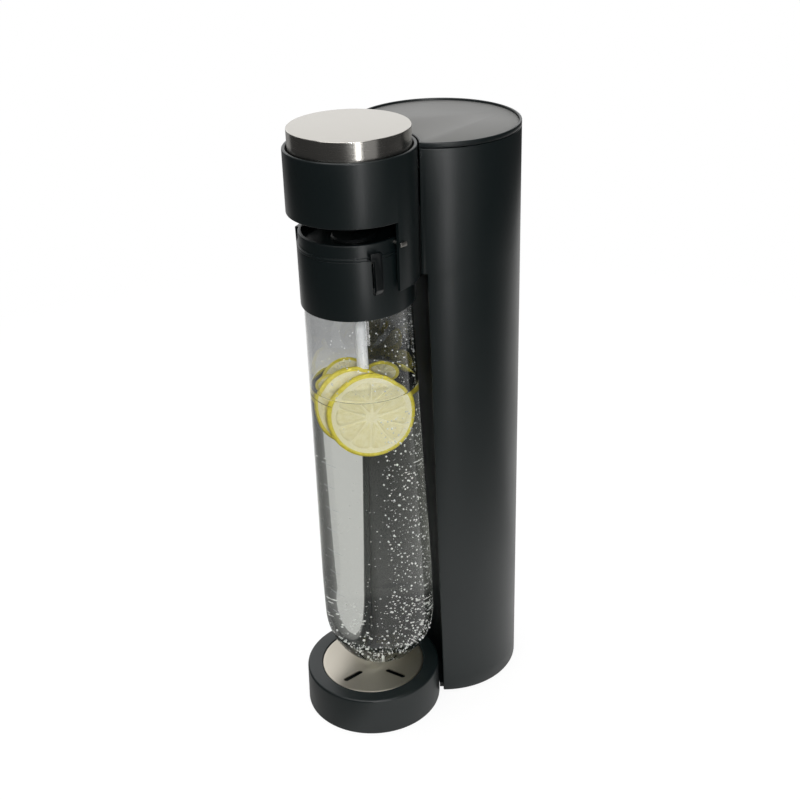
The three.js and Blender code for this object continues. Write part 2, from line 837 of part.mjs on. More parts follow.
// The pipe runs from the block's left port, up through the frame, round inside the head's
// wall, and down to the hollow hinge pin on the left.
function gasPipe() {
  const [holeX, holeY] = pipeHoleInFrame();
  const bend = 2 * pipeRadius;
  const port = blockRadius + portReach + seatGap;
  const run = pipeRunHeight();
  const [dropX, dropY] = pipeDropInHead();
  const radius = pipeRunRadius();
  const sweep = Math.PI / 2 - pipeEntry;
  const around = [];
  for (let i = 0; i < pipeArcPoints; i += 1) {
    const azimuth = pipeEntry + (i * sweep) / pipeArcPoints;
    around.push([-radius * Math.sin(azimuth), headY + radius * Math.cos(azimuth), run]);
  }
  const route = [
    [-port, cylinderY, portHeight],
    [-port - bend, cylinderY, portHeight],
    [holeX, (cylinderY + columnY + holeY) / 2, (portHeight + frameBottom) / 2],
    [holeX, columnY + holeY, frameBottom - bend],
    [holeX, columnY + holeY, frameTop + bend],
    [holeX + bend, columnY + holeY - bend, run],
    ...around,
    [dropX, headY + dropY + bend, run],
    [dropX, headY + dropY, run - bend],
    [dropX, headY + dropY, headBottom],
    [dropX, headY + dropY, pivotHeight + pivotPinRadius + seatGap],
  ];
  const points = route.map((p) => new THREE.Vector3(...p));
  const path = new THREE.CatmullRomCurve3(points, false, "centripetal");
  const steps = route.length * bendSteps;
  const options = { steps, extrudePath: path, bevelEnabled: false };
  return solid(new THREE.ExtrudeGeometry(roundSection(pipeRadius, pipeSides), options));
}

// The pipe lies above the head's floor, close to the wall, and drops beside the ring.
function pipeRunHeight() {
  return headFloorTop + runGap + 2 * pipeRadius;
}

function pipeRunRadius() {
  return headInner - pipeRadius - 2 * runGap;
}

function pipeDropInHead() {
  const radius = pipeRunRadius();
  return [-Math.sqrt(radius * radius - pivotSetback * pivotSetback), pivotSetback];
}

// Head

// The head's round wall, with a rounded lip, an inner ledge for the cap's guide, and a
// skirt that goes on down behind the holder.
function headHousing() {
  const lipRadius = [headLip, headLip];
  const profile = [
    [headRadius, skirtBottom],
    ...quarter([headRadius - headLip, headTop - headLip], lipRadius, 0, 90),
    ...quarter([headInner + headLip, headTop - headLip], lipRadius, 90, 180),
    [headInner, ledgeTop],
    [headInner - guideLedgeWidth, ledgeTop],
    [headInner - guideLedgeWidth, ledgeTop - guideLedgeHeight],
    [headInner, ledgeTop - guideLedgeHeight - guideLedgeWidth],
    [headInner, skirtBottom],
  ];
  const reach = headRadius + overrun;
  const front = block([-reach, -reach, 0], [reach, 0, headBottom]);
  const half = leverWidth / 2 + runGap;
  const leverSlot = block(
    [-half, 0, leverTop - leverNoseDepth - capTravel],
    [half, reach, leverTop + runGap]
  );
  const pins = crossRod(pivotPinRadius + seatGap, -reach, reach, pivotSetback, pivotHeight);
  const pipeHalf = 3 * pipeRadius;
  const pipeX = headRadius * Math.sin(pipeEntry);
  const pipeZ = pipeRunHeight();
  const pipeSlot = block(
    [-pipeX - pipeHalf, 0, pipeZ - pipeHalf + pipeRadius],
    [-pipeX + pipeHalf, reach, pipeZ + pipeHalf]
  );
  return revolve(profile)
    .subtract(front)
    .subtract(leverSlot)
    .subtract(pins)
    .subtract(pipeSlot);
}

function headFloor() {
  const bottom = headBottom + seatGap;
  const radius = headInner - seatGap;
  const [dropX, dropY] = pipeDropInHead();
  const notch = disc(pipeRadius + runGap, headBottom - overrun, headFloorTop + overrun, smallSides);
  return disc(radius, bottom, headFloorTop).subtract(notch.translate([dropX, dropY, 0]));
}

// Push cap

function pushCap() {
  const inner = capRadius - capWall;
  const profile = [
    [0, capTop],
    [capRadius - capEdge, capTop],
    [capRadius, capTop - capEdge],
    [capRadius, capBottom],
    [inner, capBottom],
    [inner, capTop - capWall],
    [0, capTop - capWall],
  ];
  return revolve(profile);
}

function capPlunger() {
  const flange = capRadius - capWall - plungerFlangeMargin;
  const tipBottom = leverTop + seatGap;
  const profile = [
    [0, flangeTop],
    [flange, flangeTop],
    [flange, flangeBottom],
    [plungerStemRadius, flangeBottom],
    [plungerStemRadius, tipBottom + plungerTipLength],
    [plungerTipRadius, tipBottom + plungerTipLength],
    [plungerTipRadius, tipBottom],
    [0, tipBottom],
  ];
  return revolve(profile, bottleSides);
}

function capGuide() {
  const bore = plungerStemRadius + runGap;
  const boss = bore + guideBossWall;
  const profile = [
    [bore, guideBottom],
    [headInner - seatGap, guideBottom],
    [headInner - seatGap, guideTop],
    [boss, guideTop],
    [boss, guideTop + guideBossHeight],
    [bore, guideTop + guideBossHeight],
  ];
  return revolve(profile);
}

// One unbroken coil of wire between the guide and the plunger's flange.
function capSpring() {
  const wire = springWire / 2;
  const coil = plungerStemRadius + runGap + guideBossWall + springRoom + wire;
  const low = guideTop + seatGap + wire;
  const high = flangeBottom - seatGap - wire;
  const steps = springTurns * springStepsPerTurn;
  const points = [];
  for (let i = 0; i <= steps; i += 1) {
    const angle = (2 * Math.PI * i) / springStepsPerTurn;
    const z = low + ((high - low) * i) / steps;
    points.push(new THREE.Vector3(coil * Math.cos(angle), coil * Math.sin(angle), z));
  }
  const extrudePath = new THREE.CatmullRomCurve3(points);
  const options = { steps, extrudePath, bevelEnabled: false };
  return solid(new THREE.ExtrudeGeometry(roundSection(wire, wireSides), options));
}

// Holder

// The upper ring hangs on the hinge pins. Its deck carries the nozzle, its spigot centres
// the collar, and the thin flange at its foot closes the collar's top, with a notch over
// each key.
function holderRing() {
  const spigot = ringSpigotRadius;
  const seat = shoulderTop + seatGap;
  const wall = ringRadius - ringWall;
  const profile = [
    [collarRadius, seat],
    [collarRadius, seat + ringFlange],
    [ringRadius, seat + ringFlange],
    ...quarter([ringRadius - ringEdge, ringTop - ringEdge], [ringEdge, ringEdge], 0, 90),
    [wall, ringTop],
    [wall, ringDeckTop],
    [nozzleRadius + seatGap, ringDeckTop],
    [nozzleRadius + seatGap, ringDeckBottom],
    [spigot - ringSpigotWall, ringDeckBottom],
    [spigot - ringSpigotWall, shoulderTop - ringSpigotLength],
    [spigot, shoulderTop - ringSpigotLength],
    [spigot, seat],
  ];
  const inner = wall - pivotPinDepth / 2;
  const pinInner = wall - pivotPinDepth;
  const y = pivotSetback;
  const z = pivotHeight;
  const reach = headInner - runGap * 2;
  const leftBoss = crossRod(pivotDrop, -ringRadius, -inner, y, z);
  const rightBoss = crossRod(pivotDrop, inner, reach, y, z);
  const bore = pivotPinRadius + pinGap;
  const holes = crossRod(bore, -headRadius, headRadius, y, z);
  const plug = block(
    [-pinInner, y - pivotDrop, z - pivotDrop],
    [pinInner, y + pivotDrop, z + pivotDrop]
  );
  let body = revolve(profile).add(leftBoss).add(rightBoss).subtract(holes.subtract(plug));
  for (const side of keySides) {
    const notch = keyBody(runGap, ringRadius, headRadius);
    body = body.subtract(atAzimuth(notch, side * keyAzimuthDegrees));
  }
  return body;
}

// A steel pin with a flat head, through the head's skirt and into the ring.
function hingePin(side) {
  const inner = ringRadius - ringWall - pivotPinDepth / 2;
  const face = headRadius + seatGap;
  const outer = face + pivotHeadThickness;
  const y = pivotSetback;
  const half = pivotHeadLength / 2;
  const rise = pivotHeadHeight / 2;
  const rod = crossRod(pivotPinRadius, inner, outer, y, pivotHeight);
  const head = block([face, y - half, pivotHeight - rise], [outer, y + half, pivotHeight + rise]);
  const pin = rod.add(head);
  return side > 0 ? pin : pin.mirror([1, 0, 0]);
}

// The hooked outline of a key, widened by a margin, between two radii. It faces the
// front. Both keys are the same moulding, so the hook points the same way round on both.
function keyBody(margin, inner, outer) {
  const half = keyWidth / 2 + margin;
  const top = keyTop + margin;
  const bar = block([-half, -outer, keyBottom - margin], [half, -inner, top]);
  const hook = block([-half - keyHookWidth, -outer, keyHookBottom - margin], [0, -inner, top]);
  return bar.add(hook);
}

// The collar hides the bottle's neck. Its ribs carry the catch ring, and each side has a
// slot for a release key.
function holderCollar() {
  const footInner = collarFootRadius - collarWall;
  const topInner = collarRadius - collarWall;
  const spigotHole = ringSpigotRadius + seatGap;
  const edge = [collarEdge, collarEdge];
  const profile = [
    [collarFootRadius, collarBottom],
    ...quarter([collarRadius - collarEdge, shoulderTop - collarEdge], edge, 0, 90),
    [spigotHole, shoulderTop],
    [spigotHole, shoulderTop - collarDeck],
    [topInner, shoulderTop - collarDeck],
    [footInner, collarBottom],
  ];
  let body = revolve(profile);
  for (let i = 0; i < ribCount; i += 1) {
    const ribTop = flangeRest - catchThickness - 2 * seatGap;
    const rib = block(
      [-ribThickness / 2, -topInner - collarWall / 2, ribTop - ribThickness],
      [ribThickness / 2, -catchRingRadius + catchRingWall, ribTop]
    );
    body = body.add(atAzimuth(rib, ribStartDegrees + (360 * i) / ribCount));
  }
  const pocketInner = collarRadius - collarWall - keyTravel;
  for (const side of keySides) {
    const pocket = keyBody(runGap, pocketInner, headRadius);
    body = body.subtract(atAzimuth(pocket, side * keyAzimuthDegrees));
  }
  return body;
}

// A release key: the hooked bar that a finger presses, with a sloping foot, the stem
// through the collar, and a stop plate inside.
function releaseKey(side) {
  const stemTop = shoulderTop - keyStemDrop;
  const stemBottom = stemTop - keyStemHeight;
  const stemHalf = keyStemWidth / 2;
  const barMiddle = (keyInner + keyOuter) / 2;
  const stem = block(
    [-stemHalf, -barMiddle, stemBottom],
    [stemHalf, -catchRingRadius - keyTravel - runGap, stemTop]
  );
  const plateOuter = keyPlateOuter();
  const middle = (stemTop + stemBottom) / 2;
  const stop = block(
    [-keyStopWidth / 2, -plateOuter, middle - keyStopHeight / 2],
    [keyStopWidth / 2, -plateOuter + keyStopThickness, middle + keyStopHeight / 2]
  );
  const slope = new THREE.Shape();
  slope.moveTo(-keyOuter, keyBottom + keyEndSlope);
  slope.lineTo(-keyOuter + keyEndDepth, keyBottom);
  slope.lineTo(-keyOuter + keyEndDepth, keyBottom - overrun);
  slope.lineTo(-keyOuter - overrun, keyBottom - overrun);
  slope.lineTo(-keyOuter - overrun, keyBottom + keyEndSlope);
  const key = keyBody(0, keyInner, keyOuter)
    .subtract(sideways(slope, -keyWidth, keyWidth))
    .add(stem)
    .add(stop);
  return atAzimuth(key, side * keyAzimuthDegrees);
}

// The stop plate is flat, so its corners set how close it lies to the collar's wall.
function keyPlateOuter() {
  const room = collarRadius - collarWall - seatGap;
  const half = keyStopWidth / 2;
  return Math.sqrt(room * room - half * half);
}

// The catch ring is a spring: the keys press it at the sides, and its two catches let
// the bottle's flange go.
function catchRing() {
  const bottom = flangeRest - catchThickness - seatGap;
  const inner = catchRingRadius - catchRingWall;
  const ring = pipe(catchRingRadius, inner, bottom, bottom + catchRingHeight, bottleSides);
  const half = catchWidth / 2;
  const reach = catchRingRadius - catchRingWall / 2;
  const bar = block([-half, -reach, bottom], [half, reach, bottom + catchThickness]);
  const neckRoom = bottleNeckRadius + bottleGap;
  const neck = disc(neckRoom, bottom - overrun, bottom + catchRingHeight, bottleSides);
  return ring.add(bar.subtract(neck));
}

function nozzle() {
  const flange = nozzleRadius + nozzleFlangeMargin;
  const flangeSeat = ringDeckTop + seatGap;
  const spigotBottom = ringDeckBottom - nozzleSpigotLength;
  const profile = [
    [nozzleBore, spigotBottom],
    [nozzleSpigotRadius, spigotBottom],
    [nozzleSpigotRadius, ringDeckBottom],
    [nozzleRadius, ringDeckBottom],
    [nozzleRadius, flangeSeat],
    [flange, flangeSeat],
    [flange, flangeSeat + nozzleFlange / 2],
    [flange - nozzleFlange / 2, flangeSeat + nozzleFlange],
    [nozzleBore, flangeSeat + nozzleFlange],
  ];
  return revolve(profile, 2 * smallSides);
}

function carbonationTube() {
  const top = ringDeckBottom - nozzleSpigotLength - seatGap;
  const profile = [
    [tubeBore, top],
    [tubeBore, top - tubeLength],
    [tubeRadius - tubeTaper, top - tubeLength],
    [tubeRadius, top],
  ];
  return revolve(profile, smallSides);
}

function mouthSeal() {
  const top = ringDeckBottom - seatGap;
  const inner = nozzleSpigotRadius + runGap;
  return pipe(bottleNeckRadius, inner, top - sealThickness, top, 2 * smallSides);
}

// The bottle is one revolved wall: a domed bottom with a small dimple, a belly that
// tapers up to the shoulder, and a neck with the flange that it hangs by.
function bottle() {
  const wallAt = (inset, neckWall) => {
    const belly = bottleBellyRadius - inset;
    const shoulder = bottleShoulderRadius - inset;
    const neck = bottleNeckRadius - neckWall;
    const floor = bottleBottom + inset;
    const domeTop = bottleBottom + bottleDomeHeight;
    const shoulderTopZ = bottleShoulderStart + bottleShoulderHeight;
    return [
      [0, floor + bottleDimpleDepth],
      [bottleDimpleRadius / 2, floor + bottleDimpleDepth / 2],
      [bottleDimpleRadius, floor + domeSag(belly, domeTop - floor)],
      ...quarter([0, domeTop], [belly, domeTop - floor], domeStart(belly), 0, domeSteps).slice(1),
      [belly, bottleBottom + bottleBellyHeight],
      ...quarter(
        [neck, bottleShoulderStart],
        [shoulder - neck, shoulderTopZ - bottleShoulderStart - inset],
        0,
        90
      ),
    ];
  };
  const neck = bottleNeckRadius;
  const outside = [
    ...wallAt(0, 0),
    [neck, flangeRest],
    [bottleFlangeRadius, flangeRest],
    [bottleFlangeRadius, flangeRest + bottleFlangeHeight],
    [neck, flangeRest + bottleFlangeHeight],
    [neck, bottleTop],
    [neck - bottleNeckWall, bottleTop],
  ];
  const inside = wallAt(bottleWall, bottleNeckWall).reverse();
  return revolve([...outside, ...inside], bottleSides);
}

// How far the dome has risen at the dimple's edge, and the angle at which it starts.
function domeSag(radius, height) {
  const share = bottleDimpleRadius / radius;
  return height * (1 - Math.sqrt(1 - share * share));
}

function domeStart(radius) {
  return -THREE.MathUtils.radToDeg(Math.acos(bottleDimpleRadius / radius));
}

// Drip tray

function dripTray() {
  const mouth = trayMouthRadius;
  const well = mouth - trayLedgeWidth;
  const ledge = trayHeight - plateRimDrop - plateThickness - seatGap;
  const underDeck = trayHeight - trayWall;
  const profile = [
    [0, trayWellFloor],
    [well, trayWellFloor],
    [well, ledge],
    [mouth, ledge],
    [mouth, trayHeight],
    ...quarter([trayRadius - trayEdge, trayHeight - trayEdge], [trayEdge, trayEdge], 90, 0),
    [trayFootRadius, trayFootGap],
    [trayFootRadius - trayWall, trayFootGap],
    [trayRadius - trayWall, underDeck],
    [mouth + trayWall / 2, underDeck],
    [well + trayWall, ledge - trayWall],
    [well + trayWall, footPlateTop + seatGap],
    [0, footPlateTop + seatGap],
  ];
  const half = tongueWidth / 2 + runGap;
  const deckBottom = footPlateTop + seatGap;
  const rearNotch = block([-half, 0, -overrun], [half, trayFootRadius + overrun, deckBottom]);
  return revolve(profile).subtract(rearNotch);
}

// The steel plate is dished towards its middle and has radial slots.
function dripPlate() {
  const radius = trayMouthRadius - plateGap;
  const top = trayHeight - plateRimDrop;
  const dishEdge = radius - plateLipWidth;
  const profile = [
    [0, top - plateDish],
    [slotInner / 2, top - plateDish],
    [dishEdge, top],
    [radius - plateThickness / 2, top],
    [radius, top - plateThickness / 2],
    [radius, top - plateThickness],
    [dishEdge, top - plateThickness],
    [slotInner / 2, top - plateDish - plateThickness],
    [0, top - plateDish - plateThickness],
  ];
  let plate = revolve(profile);
  const end = slotWidth / 2;
  const slot = new THREE.Shape();
  slot.absarc(0, -slotInner - end, end, 0, Math.PI, false);
  slot.absarc(0, -slotInner - slotLength + end, end, Math.PI, 2 * Math.PI, false);
  const cutter = slab(slot, trayWellFloor, trayHeight + overrun, bendSteps);
  for (let i = 0; i < slotCount; i += 1) {
    plate = plate.subtract(atAzimuth(cutter, plateTurnDegrees + (360 * i) / slotCount));
  }
  return plate;
}

add(columnFrame, "column_sleeve", columnSleeve(), "satinBlack");
add(columnFrame, "column_lid", columnLid(), "satinBlack");
add(columnFrame, "lid_inlay", lidInlay(), "inlayGrey");
add(columnFrame, "spine", spine(), "plasticBlack");
add(columnFrame, "foot_plate", footPlate(), "plasticBlack");
footPlaces().forEach((place, i) => {
  add(columnFrame, `rubber_foot_${i + 1}`, rubberFoot(place), "rubber");
});
footScrewPlaces().forEach((place, i) => {
  add(columnFrame, `foot_screw_${i + 1}`, footScrew(place), "brushedSteel");
});
add(columnFrame, "top_frame", topFrame(), "plasticBlack");

add(cylinderFrame, "gas_cylinder", gasCylinder(), "aluminium");
add(cylinderFrame, "cylinder_valve", cylinderValve(), "brass");
add(cylinderFrame, "cylinder_pad", padUnderCylinder(), "rubber");
add(cylinderFrame, "cylinder_clamp", cylinderClamp(), "plasticBlack");
add(cylinderFrame, "valve_seal", valveSeal(), "rubber");
add(cylinderFrame, "valve_block", valveBlock(), "brass");
add(cylinderFrame, "relief_valve", reliefValve(), "brass");
add(cylinderFrame, "valve_pin", valvePin(), "brushedSteel");

add(group, "lever", lever(), "brushedSteel");
add(group, "lever_bracket", leverBracket(), "brushedSteel");
add(group, "lever_pin", leverPin(), "brushedSteel");
add(group, "gas_pipe", gasPipe(), "tubeGrey");

add(headFrame, "head_housing", headHousing(), "satinBlack");
add(headFrame, "head_floor", headFloor(), "plasticBlack");
add(headFrame, "push_cap", pushCap(), "brushedSteel");
add(headFrame, "cap_plunger", capPlunger(), "plasticBlack");
add(headFrame, "cap_guide", capGuide(), "plasticBlack");
add(headFrame, "cap_spring", capSpring(), "brushedSteel");
add(headFrame, "hinge_pin_left", hingePin(-1), "brushedSteel");
add(headFrame, "hinge_pin_right", hingePin(1), "brushedSteel");
add(headFrame, "drip_tray", dripTray(), "satinBlack");
add(headFrame, "drip_plate", dripPlate(), "brushedSteel");

add(holderFrame, "holder_ring", holderRing(), "satinBlack");
add(holderFrame, "holder_collar", holderCollar(), "satinBlack");
add(holderFrame, "release_key_left", releaseKey(-1), "plasticBlack");
add(holderFrame, "release_key_right", releaseKey(1), "plasticBlack");
add(holderFrame, "catch_ring", catchRing(), "plasticBlack");
add(holderFrame, "nozzle", nozzle(), "plasticBlack");
add(holderFrame, "carbonation_tube", carbonationTube(), "tubeGrey");
add(holderFrame, "mouth_seal", mouthSeal(), "rubber");
add(holderFrame, "bottle", bottle(), "clearPet");

group.updateMatrixWorld(true);

export default group;
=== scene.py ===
# %% [markdown]
# # A sparkling water maker
# The machine is a tall round column with a round head in front of it. A bottle hangs in a
# tilting holder under the head, over a drip tray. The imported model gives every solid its
# place, and this lesson dresses it: the pieces that show get a finer surface, every piece
# gets a material, and the bottle gets its water, lemon slices and bubbles.

import math

import bmesh
import bpy
from mathutils import Matrix, Vector


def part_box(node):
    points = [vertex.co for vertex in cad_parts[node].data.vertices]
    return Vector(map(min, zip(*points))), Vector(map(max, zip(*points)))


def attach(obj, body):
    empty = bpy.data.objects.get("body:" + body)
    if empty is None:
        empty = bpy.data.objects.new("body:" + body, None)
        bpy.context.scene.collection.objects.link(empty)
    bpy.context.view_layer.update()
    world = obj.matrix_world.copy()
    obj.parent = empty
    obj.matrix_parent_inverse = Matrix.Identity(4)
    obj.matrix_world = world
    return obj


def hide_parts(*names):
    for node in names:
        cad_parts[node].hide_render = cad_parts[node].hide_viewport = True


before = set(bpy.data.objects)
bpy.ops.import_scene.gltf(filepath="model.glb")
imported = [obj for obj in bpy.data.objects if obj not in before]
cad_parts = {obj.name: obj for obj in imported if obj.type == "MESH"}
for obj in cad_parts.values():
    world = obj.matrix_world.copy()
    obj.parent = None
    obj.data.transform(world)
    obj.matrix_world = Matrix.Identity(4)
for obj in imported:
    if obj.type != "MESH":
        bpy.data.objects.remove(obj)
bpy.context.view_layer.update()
print("solids in the frame:", len(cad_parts))

# %% [markdown]
# ## Millimetres and the two axes
# Sizes are written in millimetres, as on a maker's drawing. X runs to the right, -Y is the
# front and Z is up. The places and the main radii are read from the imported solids, so the
# fine pieces can't drift from them. Two upright axes carry nearly everything: the head's
# axis in front, and the column's axis behind it.

# %% Millimetres and the two axes
MM = 0.001
SEAT_GAP = 0.3  # air between two pieces that lie on each other


def box_in_mm(node):
    """A solid's lowest and highest corner in millimetres."""
    low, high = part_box(node)
    return low / MM, high / MM


cap_box = box_in_mm("push_cap")
lid_box = box_in_mm("column_lid")
head_box = box_in_mm("head_housing")
HEAD_Y = (cap_box[0].y + cap_box[1].y) / 2
HEAD_RADIUS = head_box[1].x
SKIRT_BOTTOM, HEAD_TOP = head_box[0].z, head_box[1].z
COLUMN_RADIUS = lid_box[1].x
COLUMN_Y = lid_box[1].y - COLUMN_RADIUS
print("head axis at", round(HEAD_Y, 2), "column axis at", round(COLUMN_Y, 2))

# %% [markdown]
# ## The lean
# The holder hangs on two pins just below the head. It rests at a small tilt, with the
# bottle's foot nearer to the column. Each leaning piece is drawn upright on the head's
# axis, and then turned about the pins by one matrix, so all of them lean alike.

# %% The lean of the holder and the bottle
HEAD_BOTTOM = HEAD_TOP - 41.9
RING_TOP = HEAD_BOTTOM - 11.9
LEAN = math.radians(1.7)
PIVOT = Vector((0, HEAD_Y + 3.2, RING_TOP - 2.9))
HOLDER_LEAN = Matrix.Translation(PIVOT) @ Matrix.Rotation(LEAN, 4, "X") @ Matrix.Translation(-PIVOT)


def lean_y(z):
    """Where the leaning axis lies at a height."""
    return HEAD_Y + (PIVOT.z - z) * math.tan(LEAN)


print("the leaning axis moves back by", round(lean_y(0) - HEAD_Y, 1), "mm down to the floor")

# %% [markdown]
# ## Rounded outlines
# Nearly every piece starts as an outline. A moulded or pressed edge is never sharp, and
# the light on its small radius is what makes it look real. Bevels could round the edges
# later, but on an outline each corner can have its own radius, at little cost.

# %% Outlines with rounded corners
def soften(corners, steps=4):
    """The corners (x, y, radius) of a closed outline, each rounded by its radius."""
    points = []
    for i, (x, y, radius) in enumerate(corners):
        here = Vector((x, y))
        if not radius:
            points.append((x, y))
            continue
        before = Vector(corners[i - 1][:2]) - here
        after = Vector(corners[(i + 1) % len(corners)][:2]) - here
        half = before.angle(after) / 2
        reach = min(radius / math.tan(half), before.length * 0.49, after.length * 0.49)
        bow = reach * math.tan(half)
        to_centre = (before.normalized() + after.normalized()).normalized()
        centre = here + to_centre * (bow / math.sin(half))
        first = here + before.normalized() * reach - centre
        last = here + after.normalized() * reach - centre
        start = math.atan2(first.y, first.x)
        turn = (math.atan2(last.y, last.x) - start + math.pi) % (2 * math.pi) - math.pi
        for k in range(steps + 1):
            angle = start + turn * k / steps
            points.append((centre.x + bow * math.cos(angle), centre.y + bow * math.sin(angle)))
    return points


print("a square with soft corners:", len(soften([(0, 0, 1), (9, 0, 1), (9, 9, 1), (0, 9, 1)])), "points")

# %% [markdown]
# ## From points to a piece
# Each piece is a mesh that is written point by point, because then every radius is the
# one on the drawing. Doubles are merged, the faces are turned outwards, and faces that
# meet at a small angle are shaded smooth.

# %% From points to a piece
CRISP, SOFT, ROUND = 38, 50, 60  # faces that meet at less than this many degrees look smooth


def grid_faces(columns, rows, round_columns=True, round_rows=True):
    """Faces between columns of points; either way can close on itself."""
    faces = []
    for k in range(columns if round_columns else columns - 1):
        here, there = k * rows, (k + 1) % columns * rows
        for i in range(rows if round_rows else rows - 1):
            j = (i + 1) % rows
            faces.append((here + i, here + j, there + j, there + i))
    return faces


def finish_mesh(mesh, sharp=CRISP):
    """Merges doubles, turns the faces outwards and shades smooth up to an angle."""
    work = bmesh.new()
    work.from_mesh(mesh)
    bmesh.ops.remove_doubles(work, verts=work.verts, dist=0.0005 * MM)
    bmesh.ops.recalc_face_normals(work, faces=work.faces)
    work.to_mesh(mesh)
    work.free()
    mesh.shade_smooth()
    mesh.set_sharp_from_angle(angle=math.radians(sharp))


def link_piece(name, mesh):
    """An object that shows a mesh, put in the scene."""
    piece = bpy.data.objects.new(name, mesh)
    bpy.context.scene.collection.objects.link(piece)
    return piece


def new_piece(name, points, faces, move=None, sharp=CRISP):
    """An object from points in millimetres, moved by a matrix that is in millimetres too."""
    move = move or Matrix.Identity(4)
    mesh = bpy.data.meshes.new(name)
    mesh.from_pydata([tuple((move @ Vector(p)) * MM) for p in points], [], faces)
    finish_mesh(mesh, sharp)
    return link_piece(name, mesh)


print("faces of an open 3 by 3 grid:", len(grid_faces(3, 3, False, False)))

# %% [markdown]
# ## Turned and lofted pieces
# Two ways of building cover most of the machine. A turned piece is an outline that goes
# round an axis, as on a lathe. A lofted piece is a stack of closed sections with the same
# number of points, and it makes what isn't round, such as the C-shaped column.

# %% Turned and lofted pieces
def on_circle(radius, angle, z, centre=(0, HEAD_Y)):
    """A point on a level circle; its angle goes round from the front."""
    return (centre[0] + radius * math.sin(angle), centre[1] - radius * math.cos(angle), z)


def turned(name, outline, segments=192, axis=(0, HEAD_Y), move=None, sharp=CRISP):
    """An outline of (radius, height) swept round a vertical axis."""
    closed = outline[0][0] > 0 or outline[-1][0] > 0
    turns = [2 * math.pi * k / segments for k in range(segments)]
    points = [on_circle(r, turn, z, axis) for turn in turns for r, z in outline]
    return new_piece(name, points, grid_faces(segments, len(outline), True, closed), move, sharp)


def lofted(name, sections, move=None, sharp=CRISP):
    """Closed sections with the same number of points each, joined and capped."""
    rows = len(sections[0])
    points = [p for section in sections for p in section]
    faces = grid_faces(len(sections), rows, False)
    last = len(points) - rows
    faces += [tuple(range(rows)), tuple(range(last, last + rows))]
    return new_piece(name, points, faces, move, sharp)


def arc(radius, centre_y, start, end, count):
    """Points along an arc; its angles go round from the front."""
    turns = [start + (end - start) * k / count for k in range(count + 1)]
    return [(radius * math.sin(t), centre_y - radius * math.cos(t)) for t in turns]


def corner_angle(side, reach, opposite):
    """The angle between two sides of a triangle, from its three lengths."""
    return math.acos((side**2 + reach**2 - opposite**2) / (2 * side * reach))


print("the corner of a 3, 4, 5 triangle:", round(math.degrees(corner_angle(3, 4, 5))), "degrees")

# %% [markdown]
# ## Helpers for materials
# Colours are written as the hex values that a designer would use, and one function turns
# them to the linear values that the renderer needs. Each material reads Object
# coordinates, in metres, so a pattern's scale can be worked out from a real size. One
# small function adds any node, so a material reads like a list of what is in it.

# %% Colours and nodes
def colour(hex_value, alpha=1.0):
    """A hex colour such as "#1c1e20" in linear light."""
    channels = []
    for i in (1, 3, 5):
        c = int(hex_value[i:i + 2], 16) / 255
        channels.append(c / 12.92 if c <= 0.04045 else ((c + 0.055) / 1.055) ** 2.4)
    return (*channels, alpha)


def add_node(tree, kind, inputs=None, **settings):
    """Adds a node with its settings; an input is a value, an output, or a node's first output."""
    new = tree.nodes.new(kind)
    for name, value in settings.items():
        setattr(new, name, value)
    for name, value in (inputs or {}).items():
        if isinstance(value, bpy.types.Node):
            value = next(output for output in value.outputs if output.enabled)
        if isinstance(value, bpy.types.NodeSocket):
            tree.links.new(value, new.inputs[name])
        else:
            new.inputs[name].default_value = value
    return new


def start_material(name):
    """A material and its node tree, which is still empty."""
    material = bpy.data.materials.new(name)
    material.use_nodes = True
    material.node_tree.nodes.clear()
    return material, material.node_tree


print("mid grey in linear light:", round(colour("#808080")[0], 3))

# %% [markdown]
# ## Dressing a piece
# A dressed piece needs three things: its material, the body that it moves with, and the
# solids of the imported model that it stands for.

# %% Dressing a piece
def wear(piece, material, body, slot, *nodes):
    """Gives a piece its material, its body and the solids it stands for; the slot is not used."""
    piece.data.materials.clear()
    piece.data.materials.append(material)
    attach(piece, body)
    if nodes:
        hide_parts(*nodes)
    print(piece.name, "corners:", len(piece.data.vertices), "material:", material.name)
    return piece


# %% [markdown]
# ## The black plastic
# The column, the head and the holder are ABS, moulded in a tool whose face was etched to
# a fine satin grain. The grain breaks the reflection up, so the lamps show as soft
# stripes. It is drawn as a noise about 0.4 mm wide, coarser than the real one, because
# the real grain is too fine to show. The colour and the gloss drift a little.

# %% Moulded plastics
ABS_INDEX = 1.53
CLOUD_MM = 35  # how wide the slow drift of the gloss is


def moulded_plastic(name, hex_value, roughness, grain_mm, bump, drift=0.05):
    """A moulded plastic with a fine grain, whose gloss drifts from place to place."""
    material, tree = start_material(name)
    place = add_node(tree, "ShaderNodeTexCoord").outputs["Object"]
    cloud = add_node(tree, "ShaderNodeTexNoise", {
        "Vector": place, "Scale": 1 / (CLOUD_MM * MM), "Detail": 3.0,
    })
    grain = add_node(tree, "ShaderNodeTexNoise", {
        "Vector": place, "Scale": 1 / (grain_mm * MM), "Detail": 2.0, "Roughness": 0.6,
    })
    gloss = add_node(tree, "ShaderNodeMapRange", {
        "Value": cloud, "To Min": roughness - drift, "To Max": roughness + drift,
    })
    light = colour(hex_value)
    dark = (*[c * 0.86 for c in light[:3]], 1.0)
    shade = add_node(tree, "ShaderNodeMix", {"Factor": grain, "A": dark, "B": light}, data_type="RGBA")
    relief = add_node(tree, "ShaderNodeBump", {
        "Height": grain, "Strength": bump, "Distance": 0.05 * MM,
    })
    skin = add_node(tree, "ShaderNodeBsdfPrincipled", {
        "Base Color": shade, "Roughness": gloss, "Normal": relief, "IOR": ABS_INDEX,
    })
    add_node(tree, "ShaderNodeOutputMaterial", {"Surface": skin})
    return material


